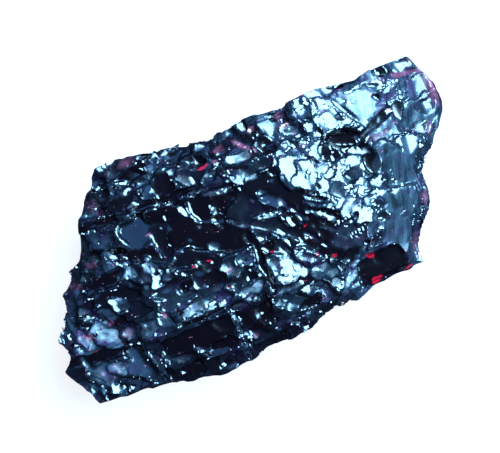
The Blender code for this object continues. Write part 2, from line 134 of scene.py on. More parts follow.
# The breaks that make up the top, in millimetres and degrees. Each is a flat or dished floor: its middle,
# half length, half width and turn, or else its corners, how deep it lies, which way its floor faces, how
# dished it is, and how crumbled and how frosted it is. The frosting sets both the roughness and how much
# pale haze colour shows, and that haze is partly a painted sheen. One that faces no way is no break of its
# own, only a patch of that finish.
BREAKS = [
    # Broad faces that the smaller breaks are set into
    ((-13.4, 8.2), (-7.2, 8.3), (-6.2, 4.6), (-9.2, 1.4), (-13.6, 3.0), 0.2, "dark", 0, 0.02, 0),
    ((-7.4, 8.0), (-0.2, 8.0), (-0.4, 3.0), (-3.2, 1.6), (-6.4, 4.4), 0.35, "dark", 0, 0.02, 0),
    ((-9.6, 1.6), (-6.2, 4.4), (-1.0, 2.2), (-0.2, -1.4), (-4.6, -0.8), 0.3, "dark", 0, 0.05, 0),
    ((0.2, 7.4), (6.2, 7.6), (6.8, 3.4), (3.0, 1.6), (0.2, 2.6), 0.25, "dark", 0, 0.05, 0.02),
    ((4.2, 2.6), (7.4, 4.2), (10.8, 0.8), (7.6, -2.4), (4.6, -0.8), 0.3, "dark", 0, 0.1, 0),
    ((4.8, -1.2), (10.8, 0.4), (12.2, -3.0), (10.4, -5.8), (6.2, -3.6), 0.4, "dark", 0, 0.1, 0),
    ((6.0, -3.8), (11.6, -3.4), (13.2, -6.6), (11.4, -8.0), (8.4, -6.8), 0.45, "dark", 0, 0.15, 0),
    ((-17.8, -9.6), (-12.0, -9.0), (-7.3, -9.2), (-7.4, -13.3), (-9.6, -14.2), (-14.0, -13.4),
     (-17.4, -11.8), 0.35, "dark", 0, 0.08, 0),
    ((-6.6, -9.2), (-1.6, -9.4), (-1.8, -12.8), (-5.6, -12.4), 0.4, "dark", 0, 0.05, 0),
    ((-18.4, 4.6), (-13.8, 3.4), (-12.4, 1.6), (-15.4, 2.2), (-18.0, 3.0), 0.4, "dark", 0, 0.1, 0),
    ((-13.4, 0), (-9.6, 1.6), (-6.4, 0.2), (-10.4, -1.0), 0.2, "dark", 0, 0.1, 0.02),
    ((19.4, 8.8), (23.2, 10.4), (25.6, 9.4), (25.8, 5.9), (20.2, 5.8), 0, "end", 0, 0.1, 0.45),
    ((22.8, 11.0), (25.0, 12.8), (31.6, 13.2), (31.8, 10.2), (27.6, 9.0), 0, "end", 0, 0.06, 0.4),
    ((25.2, 9.6), (31.8, 10.4), (31.6, 7.8), (28.4, 4.6), (25.4, 5.8), 0, "end", 0, 0.06, 0.35),
    ((19.6, 5.9), (28.4, 6.0), (26.2, -1.6), (18.4, -0.2), 0, "end", 0, 0.06, 0.36),
    ((14.4, -7.4), (18.6, -0.6), (26.2, -1.8), (24.0, -6.2), (21.6, -10.0), (18.4, -8.4), 0, "end", 0,
     0.06, 0.36),
    # The upper band, left to right
    (-20.6, 12.4, 2.5, 1.8, 55, 0.2, "dusk", 0.1, 0.05, 0.2),
    (-19.0, 14.7, 1.3, 0.9, 20, 0.2, "glow", 0.12, 0.04, 0.35),
    (-18.6, 13.3, 1.2, 0.8, 0, 0.2, "dark", 0.1, 0.18, 0.08),
    (-20.4, 11.2, 2.8, 0.5, -8, 0.1, "dusk", 0.1, 0.04, 0.25),
    (-16.2, 16.6, 1.3, 0.5, 18, 0, "lit", 0.05, 0.18, 0.2),
    (-15.9, 15.1, 1.5, 0.9, 10, 0.2, "dusk", 0.1, 0.07, 0.1),
    (-13.6, 16.1, 1.4, 0.8, 0, 0.2, "dark", 0.1, 0.14, 0.1),
    (-11.2, 16.0, 1.3, 0.35, 5, 0, "lit", 0.03, 0.18, 0.2),
    (-13.0, 14.3, 1.7, 1.0, 0, 0.4, "dark", 0.1, 0.07, 0),
    (-15.0, 13.4, 1.2, 0.4, -20, 0, "lit", 0.04, 0.13, 0.15),
    (-16.6, 13.5, 0.6, 0.8, 0, 0.1, "glow", 0.1, 0.18, 0.2),
    (-13.2, 12.3, 2.0, 0.5, 10, 0.1, "dusk", 0.1, 0.18, 0.15),
    (-10.4, 13.8, 1.4, 0.9, -35, 0.05, "glow", 0.04, 0.3, 0.55),
    (-9.5, 13.4, 0.7, 0.7, 0, 0.1, "glow", 0.1, 0.29, 0.2),
    (-16.0, 10.8, 2.0, 1.2, 0, 0.4, "dark", 0.1, 0.11, 0.03),
    (-13.6, 9.9, 1.5, 0.7, -10, 0.2, "dusk", 0.1, 0.18, 0.15),
    (-11.5, 10.8, 1.2, 1.1, 0, 0.2, "back", 0.12, 0, 0.25),
    (-9.2, 11.6, 1.1, 2.4, 0, 0.4, "dark", 0.1, 0.11, 0.02),
    (-6.8, 15.4, 1.7, 1.3, 0, 0.2, "dusk", 0.1, 0.07, 0.1),
    (-9.0, 15.2, 1.1, 0.9, 20, 0.2, "dark", 0.1, 0.07, 0.05),
    (-4.8, 13.6, 1.5, 1.0, -30, 0.4, "dark", 0.1, 0.07, 0.02),
    (-6.4, 11.3, 1.3, 1.7, -15, 0.05, "dusk", 0.05, 0, 0.12),
    (-4.4, 10.3, 0.8, 0.8, 0, 0.3, "dark", 0.1, 0.04, 0.08),
    (-3.0, 9.9, 0.9, 0.8, 0, 0.3, "dusk", 0.12, 0.04, 0.2),
    (-2.0, 15.7, 1.6, 0.5, -5, 0.1, "glow", 0.1, 0.18, 0.2),
    (-3.0, 14.6, 0.7, 0.6, 0, 0.1, "lit", 0.06, 0.18, 0.2),
    (-2.0, 13.4, 0.45, 1.3, 12, 0.1, "lit", 0.12, 0.09, 0.1),
    (-0.5, 15.1, 0.45, 0.9, 0, 0, "lit", 0.09, 0.05, 0.1),
    (-0.8, 13.0, 0.8, 0.9, 0, 0.2, "dusk", 0.1, 0.32, 0.1),
    (1.4, 14.9, 1.4, 1.0, 0, 0.1, "dusk", 0.1, 0.11, 0.25),
    (2.6, 13.0, 1.7, 0.9, -20, 0.3, "dark", 0.1, 0.07, 0.1),
    (1.7, 11.3, 1.4, 1.4, 0, 0.3, "glow", 0.1, 0.07, 0.35),
    (3.6, 14.9, 0.6, 0.9, 15, 0, "lit", 0.09, 0.18, 0.3),
    (5.2, 13.2, 0.7, 1.4, -10, 0.3, "dark", 0.1, 0.07, 0.05),
    (6.0, 11.3, 1.8, 1.2, -25, 0.4, "dark", 0.1, 0.02, 0.03),
    (7.2, 13.4, 2.0, 1.1, -65, 0.1, "glow", 0.1, 0.06, 0.75),
    (8.3, 14.8, 0.6, 0.9, 0, 0.3, "dark", 0.1, 0.3, 0.05),
    (9.2, 12.8, 0.7, 0.9, 0, 0.2, "dusk", 0.1, 0.12, 0.35),
    (10.2, 13.8, 1.4, 1.0, -20, 0.5, "dark", 0.12, 0.06, 0),
    (10.1, 12.2, 1.0, 0.7, 0, 0.3, "dark", 0.1, 0.18, 0.08),
    # The black step at the foot of the upper band, and the lit line under it
    ((-26.0, 10.0), (-17.6, 9.9), (-17.4, 8.9), (-26.0, 9.0), 0.6, "dark", 0, 0.02, 0),
    (-10.0, 9.3, 5.0, 0.4, 0, 0.6, "dark", 0.1, 0.07, 0),
    (-21.0, 7.3, 2.8, 0.9, -12, 0.2, "dark", 0.1, 0.07, 0.3),
    (-24.3, 6.6, 1.5, 1.0, 40, 0.2, "dark", 0.1, 0.07, 0.25),
    (-3.0, 7.5, 2.0, 0.4, -6, 0.1, "dusk", 0.05, 0.1, 0.25),
    (1.2, 8.1, 1.7, 0.9, 0, 0.1, "dusk", 0.1, 0.2, 0.3),
    (4.5, 8.8, 1.7, 1.0, 5, 0.2, "dark", 0.1, 0.05, 0.1),
    (6.3, 8.3, 1.6, 0.3, 85, 0, "lit", 0.03, 0, 0.3),
    # The left end
    (-21.2, 5.4, 2.2, 0.5, -25, 0.4, "dark", 0.1, 0.04, 0),
    (-25.6, 5.0, 1.7, 0.9, 40, 0.1, "dusk", 0.1, 0.29, 0.12),
    (-23.4, 4.3, 1.3, 1.4, 0, 0.1, "dusk", 0.1, 0.2, 0.15),
    (-21.6, 3.3, 1.4, 1.1, -20, 0.1, "dusk", 0.12, 0.11, 0.3),
    (-20.3, 4.3, 1.3, 0.7, -40, 0, "lit", 0.04, 0.09, 0.5),
    (-19.9, 2.6, 1.8, 1.1, -40, 0.1, "glow", 0.05, 0.07, 0.6),
    (-18.2, 1.7, 1.4, 0.9, -50, 0.1, "glow", 0.05, 0.12, 0.7),
    (-26.8, 3.2, 1.2, 1.0, 50, 0.2, "dark", 0.1, 0.18, 0.05),
    (-23.4, 1.6, 3.2, 1.0, -5, 0.5, "dark", 0.1, 0.02, 0),
    (-27.2, 0.9, 1.5, 0.6, 40, 0.1, "dusk", 0.1, 0.04, 0.4),
    (-26.8, -1.0, 2.0, 0.8, -10, 0.3, "dark", 0.1, 0.07, 0.03),
    (-21.8, -1.2, 2.6, 1.1, -8, 0.5, "dark", 0.1, 0.07, 0.02),
    (-21.0, -2.8, 1.6, 0.8, -10, 0.2, "dusk", 0.1, 0.04, 0.12),
    (-26.2, -2.3, 1.7, 0.7, -30, 0.1, "dusk", 0.1, 0.11, 0.35),
    (-28.6, -2.6, 0.4, 0.8, 0, 0, "lit", 0.08, 0.13, 0.1),
    (-28.6, -0.8, 1.0, 1.9, -25, 0, "dusk", 0.05, 0.1, 0.45),
    (-28.5, -4.7, 0.55, 1.2, 5, 0, "lit", 0.05, 0.09, 0.3),
    (-29.7, -4.6, 0.6, 1.3, 0, 0.1, "lit", 0.12, 0.41, 0.15),
    (-28.2, -6.4, 1.3, 0.9, 0, 0.1, "glow", 0.06, 0.2, 0.6),
    (-27.1, -6.2, 0.8, 1.1, -20, 0, "glow", 0.04, 0.1, 0.6),
    (-22.4, -4.0, 1.1, 0.6, -20, 0.1, "glow", 0.04, 0.15, 0.45),
    ((-26.9, -4.8), (-25.6, -3.2), (-23.6, -3.4), (-22.7, -5.6), (-22.9, -8.0), (-24.6, -8.0), (-26.3, -6.4),
     0, "chevron", 0, 0.12, 0.9),
    (-28.2, -4.6, 1.4, 1.0, -60, 0, "glow", 0.05, 0.11, 0.8),
    (-21.4, -6.6, 1.2, 0.9, -10, 0.1, "glow", 0.05, 0.15, 0.3),
    (-19.0, -6.8, 2.0, 1.0, 10, 0.1, "dusk", 0.05, 0.1, 0.35),
    (-21.6, -4.6, 1.6, 0.7, -10, 0.5, "dark", 0.1, 0.11, 0),
    (-18.4, -4.2, 1.6, 1.0, -10, 0.3, "dark", 0.1, 0.11, 0.05),
    # The middle: smooth hollows, dark but for the chips along their rims
    (-17.5, 7.2, 1.4, 0.8, 10, 0.1, "dusk", 0.1, 0.07, 0.18),
    (-15.3, 5.6, 2.8, 1.7, -20, 0.4, "back", 0.12, 0, 0.12),
    (-12.6, 4.8, 1.2, 2.0, 10, 0.3, "dark", 0.1, 0.04, 0.03),
    (2.0, 0.9, 3.4, 1.4, -25, 0.3, "dark", 0.1, 0.11, 0.08),
    (-10.8, 6.6, 0.2, 0.9, -10, 0.1, "lit", 0.03, 0.05, 0.1),
    (-8.3, 7.0, 0.3, 0.8, 35, 0.1, "lit", 0.03, 0.09, 0.15),
    (-1.9, 2.4, 1.4, 0.4, -40, -0.1, "dusk", 0.05, 0.07, 0.25),
    (2.9, 4.9, 0.8, 0.6, -30, 0, "glow", 0.1, 0.14, 0.3),
    (4.1, 3.3, 1.6, 0.8, -40, 0.1, "back", 0.1, 0.02, 0.3),
    (2.8, 1.9, 1.8, 0.5, -5, 0.1, "dusk", 0.1, 0.11, 0.15),
    (-6.0, 0.6, 0.7, 0.5, 0, 0, "glow", 0.1, 0.18, 0.3),
    (-15.3, 1.0, 1.1, 0.8, -40, 0.1, "glow", 0.06, 0.12, 0.5),
    (-14.9, -0.7, 1.1, 0.8, 60, 0, "lit", 0.08, 0.13, 0.15),
    (-16.6, -1.3, 0.5, 0.4, 0, 0.1, "lit", 0.04, 0.13, 0.2),
    (-13.6, -3.4, 2.4, 1.1, -12, 0.3, "dark", 0.05, 0, 0.2),
    (-14.0, -5.0, 2.2, 0.8, 0, 0.3, "dark", 0.05, 0, 0.25),
    (-11.3, -1.3, 1.0, 0.25, -38, 0, "glow", 0.03, 0.1, 0.3),
    (-11.7, -3.2, 0.9, 0.7, 0, 0.4, "dark", 0.1, 0.04, 0),
    (-9.7, -3.5, 1.0, 0.6, 0, 0.2, "dusk", 0.1, 0.04, 0.1),
    (-7.6, -1.3, 1.7, 0.9, -10, 0.3, "dark", 0.1, 0.32, 0.03),
    (-7.4, -3.4, 1.3, 0.9, -20, 0.4, "dark", 0.1, 0.11, 0),
    (-5.4, -2.6, 0.6, 0.8, 0, 0.1, "glow", 0.05, 0.14, 0.25),
    (-3.0, -2.5, 1.0, 1.0, 0, 0.2, "glow", 0.5, 0, 0.45),
    (-9.0, -5.2, 2.2, 0.7, 0, 0.2, "dusk", 0.1, 0.07, 0.12),
    (-5.2, -5.4, 1.0, 0.8, 0, 0.2, "dusk", 0.1, 0.32, 0.12),
    (-2.6, -4.8, 1.2, 1.0, -10, 0.4, "dark", 0.1, 0.11, 0.02),
    (-16.3, -6.4, 0.8, 0.8, 0, 0.1, "glow", 0.1, 0.14, 0.3),
    (-10.2, -6.7, 4.0, 0.9, 4, 0, "glow", 0.12, 0.11, 0.5),
    (-12.4, -7.4, 1.3, 0.4, 5, 0, "lit", 0.04, 0.09, 0.5),
    (-9.2, -6.8, 0.8, 0.5, 20, 0, "lit", 0.05, 0.13, 0.5),
    (-7.4, -7.3, 0.9, 0.35, 5, 0, "lit", 0.03, 0.09, 0.5),
    (-3.6, -7.0, 1.7, 0.8, -10, 0.1, "dusk", 0.1, 0.11, 0.5),
    (-5.0, -6.8, 0.5, 0.6, 0, 0, "lit", 0.06, 0.13, 0.5),
    # The crack and the lower strip
    ((-33.5, -6.8), (-26.0, -7.9), (-20.2, -8.9), (-20.4, -9.6), (-26.2, -9.1), (-33.5, -8.0), 0.6, "dark",
     0, 0.05, 0),
    (-9.5, -8.05, 4.6, 0.2, 0, 0.4, "dark", 0.1, 0.04, 0),
    (-8.8, -8.7, 3.0, 0.2, -3, 0, "glow", 0.03, 0.1, 0.25),
    (-3.0, -8.4, 0.9, 0.65, -10, 0, "lit", 0.07, 0.31, 0.1),
    (-31.4, -9.8, 1.9, 1.4, 0, 0.3, "dark", 0.1, 0.18, 0.05),
    (-30.0, -12.2, 1.6, 1.2, -20, 0.3, "dusk", 0.05, 0.25, 0.25),
    (-28.8, -10.6, 0.5, 1.9, 15, 0, "glow", 0.05, 0.11, 0.5),
    (-27.0, -10.9, 2.0, 1.5, -15, 0.2, "dusk", 0.08, 0, 0.4),
    (-24.6, -11.0, 1.5, 1.0, -30, 0.1, "glow", 0.06, 0.02, 0.6),
    (-21.9, -12.0, 2.0, 1.6, -35, 0.3, "back", 0.12, 0, 0.3),
    (-23.3, -10.3, 0.5, 0.2, -10, 0, "lit", 0.02, 0.05, 0.4),
    (-23.4, -12.8, 1.5, 0.25, -22, 0.4, "dark", 0.1, 0, 0),
    (-26.1, -13.5, 1.1, 0.6, 0, 0.1, "lit", 0.06, 0.23, 0.1),
    (-24.2, -14.0, 0.7, 0.4, 0, 0.1, "lit", 0.04, 0.13, 0.1),
    (-20.1, -12.2, 0.25, 1.5, 8, 0.3, "dark", 0.1, 0, 0),
    (-19.2, -12.2, 0.5, 1.7, 8, 0.1, "dusk", 0.1, 0.04, 0.3),
    (-18.4, -12.2, 0.25, 1.6, 8, 0.3, "dark", 0.1, 0, 0),
    (-17.6, -12.5, 0.5, 1.3, 8, 0.1, "dusk", 0.1, 0.04, 0.2),
    (-15.4, -12.8, 1.6, 0.7, 0, 0.1, "dusk", 0.1, 0.07, 0.12),
    (-15.0, -14.7, 1.9, 0.8, -8, 0.1, "dark", 0.05, 0.05, 0),
    (-12.8, -12.5, 1.1, 0.35, -40, 0, "lit", 0.04, 0.18, 0.25),
    (-9.6, -13.0, 1.8, 0.8, 0, 0.3, "dark", 0.1, 0.04, 0),
    (-6.9, -10.8, 0.3, 1.9, 8, -0.1, "glow", 0.03, 0.1, 0.35),
    (-6.0, -12.9, 1.0, 0.6, -15, 0, "lit", 0.06, 0.09, 0.4),
    (-4.8, -13.1, 0.7, 0.7, 0, 0.2, "dusk", 0.1, 0, 0.1),
    # The lower middle
    (0.6, -0.6, 1.2, 0.7, -20, 0.1, "dusk", 0.1, 0.18, 0.15),
    (-0.4, -4.0, 0.5, 3.6, 0, 0.4, "dark", 0.1, 0.04, 0),
    (2.5, -5.6, 2.6, 2.3, 20, 0.1, "lit", 0.12, 0.31, 0.3),
    (0.9, -4.4, 0.9, 1.0, 0, 0.1, "dusk", 0.1, 0.04, 0.3),
    (1.2, -2.1, 1.1, 0.8, -30, 0.4, "dark", 0.1, 0, 0),
    (2.7, -3.0, 1.0, 1.1, 0, 0.3, "dark", 0.12, 0.04, 0.08),
    (3.8, -2.7, 0.25, 1.0, 20, -0.1, "lit", 0.1, 0, 0.1),
    (0.9, -6.9, 0.7, 0.7, 0, 0, "lit", 0.07, 0.05, 0.3),
    (4.5, -7.1, 0.6, 0.8, 0, 0, "lit", 0.08, 0.05, 0.3),
    (4.7, -4.6, 0.7, 0.6, 0, 0, "lit", 0.06, 0.09, 0.3),
    (6.0, -5.9, 1.2, 0.9, -40, 0.2, "dusk", 0.1, 0.04, 0.3),
    (1.6, -8.8, 1.9, 0.8, 0, 0.1, "dusk", 0.1, 0.05, 0.3),
    (7.4, -8.6, 1.7, 1.1, -20, 0.2, "dusk", 0.1, 0.05, 0.4),
    (1.2, -10.2, 1.6, 1.0, -10, 0.2, "dark", 0.1, 0.05, 0.35),
    (4.7, -9.7, 1.6, 0.7, -10, 0.1, "lit", 0.06, 0.2, 0.3),
    (5.6, -10.9, 1.1, 1.0, 0, 0, "lit", 0.1, 0.36, 0.3),
    (2.0, -10.9, 1.6, 0.6, 0, 0.3, "dark", 0.1, 0.11, 0.35),
    (3.6, -11.6, 1.9, 0.45, 0, 0.4, "dark", 0.1, 0, 0),
    (3.6, -12.9, 1.4, 0.4, 0, 0.1, "glow", 0.04, 0.15, 0.3),
    (6.9, -11.7, 0.8, 1.1, 0, 0.3, "dark", 0.1, 0.04, 0.35),
    (8.7, -10.8, 1.1, 0.8, 20, 0, "lit", 0.05, 0.25, 0.3),
    (9.9, -9.1, 0.6, 0.8, 0, 0, "lit", 0.04, 0.15, 0.3),
    (9.9, -10.8, 3.8, 0.7, 52, -0.1, "glow", 0.05, 0, 0.6),
    (12.3, -7.9, 1.6, 0.5, 40, -0.1, "glow", 0.05, 0.06, 0.5),
    (11.3, -11.7, 2.3, 0.8, 45, 0.2, "dusk", 0.1, 0.12, 0.3),
    # The dark trough
    (11.2, -7.2, 1.4, 0.7, 20, 0.3, "dark", 0.1, 0.18, 0.02),
    (5.3, 2.3, 1.2, 0.3, -55, 0.1, "dusk", 0.03, 0.05, 0.25),
    (6.8, 0.3, 1.4, 0.25, -60, 0.1, "dusk", 0.03, 0.05, 0.2),
    (9.2, 1.9, 1.6, 0.22, -32, 0, "dusk", 0.03, 0, 0.3),
    (9.3, 0.9, 1.6, 0.2, -36, 0, "dusk", 0.03, 0, 0.4),
    (9.2, -0.3, 1.4, 0.25, -42, 0, "dusk", 0.03, 0, 0.3),
    (7.0, -2.6, 1.1, 0.25, -50, 0.1, "dusk", 0.03, 0.05, 0.25),
    (9.6, -2.6, 1.3, 0.22, -35, 0, "dusk", 0.03, 0.05, 0.25),
    (10.6, -5.5, 1.2, 0.3, -40, 0.1, "dusk", 0.03, 0.05, 0.25),
    (12.9, -4.3, 2.3, 1.8, 20, 0.2, "dark", 0.05, 0.1, 0.2),
    # The bright face
    (12.4, 13.9, 2.2, 1.2, 30, 0, "lit", 0.06, 0.38, 0.35),
    (15.0, 13.1, 1.9, 1.4, 0, 0, "lit", 0.06, 0.3, 0.35),
    (12.5, 12.4, 0.6, 0.5, 0, 0.2, "dark", 0.1, 0, 0.1),
    (15.1, 11.0, 1.3, 1.2, -15, 0, "lit", 0.06, 0.3, 0.35),
    (11.3, 11.1, 0.9, 0.7, 0, 0.3, "dark", 0.1, 0.2, 0.08),
    (9.1, 11.7, 1.3, 0.9, -10, 0.1, "glow", 0.1, 0.24, 0.4),
    (12.8, 10.8, 0.35, 1.8, -15, 0.2, "dusk", 0.05, 0, 0.35),
    (13.5, 10.3, 0.35, 0.7, 0, 0.3, "dark", 0.1, 0, 0),
    (11.2, 9.7, 0.9, 0.6, 0, 0.1, "glow", 0.12, 0.3, 0.35),
    (8.9, 9.3, 1.9, 0.9, -10, 0, "lit", 0.04, 0.3, 0.35),
    (7.3, 9.1, 0.6, 0.9, 0, 0.1, "glow", 0.1, 0, 0.5),
    (10.9, 8.7, 1.4, 0.6, -30, 0, "lit", 0.03, 0.15, 0.35),
    (10.8, 5.8, 2.0, 2.2, 0, 0, "lit", 0.06, 0.45, 0.35),
    (12.9, 5.2, 1.6, 1.4, 0, 0, "lit", 0.06, 0.52, 0.35),
    (15.3, 4.8, 1.2, 1.3, 0, 0, "lit", 0.06, 0.15, 0.35),
    (15.6, 6.9, 0.6, 1.3, 0, 0.4, "dark", 0.05, 0, 0),
    (14.0, 3.4, 2.4, 0.7, 5, 0, "lit", 0.04, 0.3, 0.35),
    (11.3, 3.0, 1.0, 1.0, 0, 0, "lit", 0.05, 0.15, 0.35),
    (14.6, 1.1, 1.4, 1.0, -10, 0, "lit", 0.05, 0.45, 0.35),
    (13.0, 0, 2.4, 0.8, -5, 0, "glow", 0.1, 0.36, 0.35),
    (16.4, 0.8, 0.9, 0.8, 0, 0, "lit", 0.04, 0.22, 0.35),
    (13.3, -1.0, 1.4, 0.9, 0, 0.1, "dusk", 0.1, 0.06, 0.45),
    (15.2, -2.6, 1.4, 0.9, 35, 0, "lit", 0.04, 0.3, 0.1),
    (17.2, -1.0, 1.8, 0.6, 28, 0, "lit", 0.03, 0.52, 0.35),
    (18.4, 1.1, 0.9, 0.7, 0, 0, "lit", 0.04, 0.3, 0.35),
    (9.3, 6.6, 0.5, 1.3, 0, 0.1, "glow", 0.12, 0, 0.4),
    (7.4, 6.4, 2.1, 1.05, 76, -0.05, "lit", 0.05, 0, 0.35),
    (11.0, 7.1, 1.2, 0.22, -45, 0.5, "dark", 0.1, 0, 0),
    (9.6, 5.1, 0.8, 0.4, 45, 0.2, "dusk", 0.12, 0, 0.35),
    (9.4, 3.6, 0.9, 0.9, 0, 0.15, "dusk", 0.1, 0, 0.35),
    (10.4, 3.6, 0.2, 0.8, 20, 0.3, "dark", 0.1, 0, 0),
    (13.0, 2.0, 1.1, 1.2, 0, 0.15, "dark", 0.1, 0, 0.3),
    (16.0, 3.0, 1.5, 0.8, 8, 0.2, "dark", 0.1, 0, 0.25),
    (9.3, 2.7, 1.5, 0.16, -30, 0.3, "dark", 0.1, 0, 0),
    (9.7, 1.8, 1.4, 0.16, -28, 0.3, "dark", 0.1, 0, 0),
    (13.5, 7.2, 1.4, 1.4, 0, 0.5, "dark", 0.12, 0.18, 0.05),
    (14.6, 8.8, 2.6, 0.4, 12, 0.5, "dark", 0.1, 0.06, 0),
    (18.2, 8.2, 1.7, 0.6, -30, 0.6, "dark", 0.1, 0.06, 0),
    ((13.0, 9.4), (16.8, 9.6), (17.4, 8.4), (14.2, 8.2), 0.4, "dark", 0, 0.1, 0),
    (17.6, 6.9, 2.1, 1.7, -15, 0.6, "dark", 0.12, 0.06, 0),
    (18.5, 3.7, 1.3, 1.7, 10, 0.7, "dark", 0.1, 0, 0),
    (16.6, 8.1, 2.2, 0.9, -8, 0.6, "dark", 0.05, 0, 0),
    (16.9, 5.9, 0.8, 0.35, -25, 0, "lit", 0.03, 0.05, 0.4),
    (18.3, 5.6, 0.9, 0.4, -20, 0, "glow", 0.03, 0.05, 0.5),
    # The square step
    ((16.4, 14.9), (18.5, 15.0), (22.2, 13.6), (23.9, 11.4), (23.2, 10.2), (19.6, 8.5),
     0.1, "chevron", 0, 0.05, 0.9),
    (19.9, 14.6, 1.8, 0.5, 0, 0, "lit", 0.05, 0.38, 0.35),
    (11.4, 15.5, 1.3, 0.7, 0, 0, "lit", 0.04, 0.2, 0.35),
    (13.9, 15.5, 1.2, 0.8, 0, 0, "lit", 0.04, 0.2, 0.35),
    (16.6, 15.2, 1.3, 0.6, -10, 0, "lit", 0.03, 0.2, 0.35),
    (13.7, 11.9, 0.9, 0.6, 30, 0, "lit", 0.03, 0.15, 0.4),
    (12.3, 11.4, 0.7, 0.5, 0, 0, "lit", 0.03, 0.15, 0.4),
    (17.4, 13.4, 1.0, 0.6, -30, 0, "lit", 0.03, 0.15, 0.6),
    (10.1, 6.9, 0.8, 1.1, 20, 0, "lit", 0.04, 0.12, 0.35),
    (9.2, 8.3, 1.2, 0.6, -20, 0, "lit", 0.03, 0.12, 0.35),
    (8.3, 4.6, 0.9, 0.6, -50, 0, "lit", 0.03, 0.1, 0.4),
    (10.2, 4.4, 0.7, 0.6, 0, 0, "lit", 0.03, 0.1, 0.4),
    (18.2, 11.4, 0.5, 2.8, 30, 0.25, "dusk", 0.05, 0, 0.35),
    (17.7, 11.0, 0.12, 2.2, 30, 0, "glow", 0.03, 0, 0.35),
    (22.6, 9.2, 2.9, 0.55, 20, 0.4, "dark", 0.1, 0, 0.03),
    (25.2, 9.0, 0.7, 1.1, 0, 0.3, "dark", 0.1, 0.12, 0.1),
    (22.9, 12.1, 0.6, 0.4, -30, 0.3, "dark", 0.1, 0.06, 0),
    (23.4, 13.5, 1.2, 0.4, -30, 0.2, "dark", 0.1, 0.18, 0.1),
    (23.6, 14.3, 1.3, 0.7, 0, None, None, 0, 0.2, 0.35),
    (25.2, 15.3, 1.1, 0.8, 0, 0.3, "dark", 0.1, 0.12, 0.02),
    (25.6, 13.0, 1.4, 0.6, 20, 0, "glow", 0.1, 0.2, 0.6),
    (27.9, 15.0, 1.6, 0.8, 5, None, None, 0, 0.2, 0.2),
    (21.8, 7.7, 1.9, 0.7, 5, None, None, 0, 0.1, 0.6),
    # The frosted end
    (26.8, 12.0, 1.6, 1.6, 0, None, None, 0, 0.3, 0.6),
    (22.4, 4.2, 1.8, 2.2, 0, None, None, 0, 0.05, 0.34),
    (20.2, 3.0, 1.2, 2.0, 0, None, None, 0, 0.1, 0.25),
    (19.9, -2.2, 0.6, 1.6, -5, None, None, 0, 0, 0.12),
    (17.3, -2.0, 0.9, 0.35, 10, 0.2, "dark", 0.1, 0, 0.12),
    (17.4, -3.9, 0.8, 0.45, 5, 0.2, "dark", 0.12, 0, 0.15),
    (22.6, -5.6, 2.0, 1.2, 60, None, None, 0, 0.3, 0.25),
    (15.4, -6.6, 1.4, 0.4, 35, 0.2, "dark", 0.1, 0, 0.08),
    # The dark window at the lower right, and the pale rim under it
    ((12.0, -9.2), (14.0, -8.1), (18.2, -8.2), (19.0, -11.3), (17.2, -12.9), (11.0, -12.6),
     0.5, "dark", 0, 0.05, 0),
    (19.7, -12.5, 1.6, 0.45, 15, 0, "lit", 0.05, 0, 0.6),
]
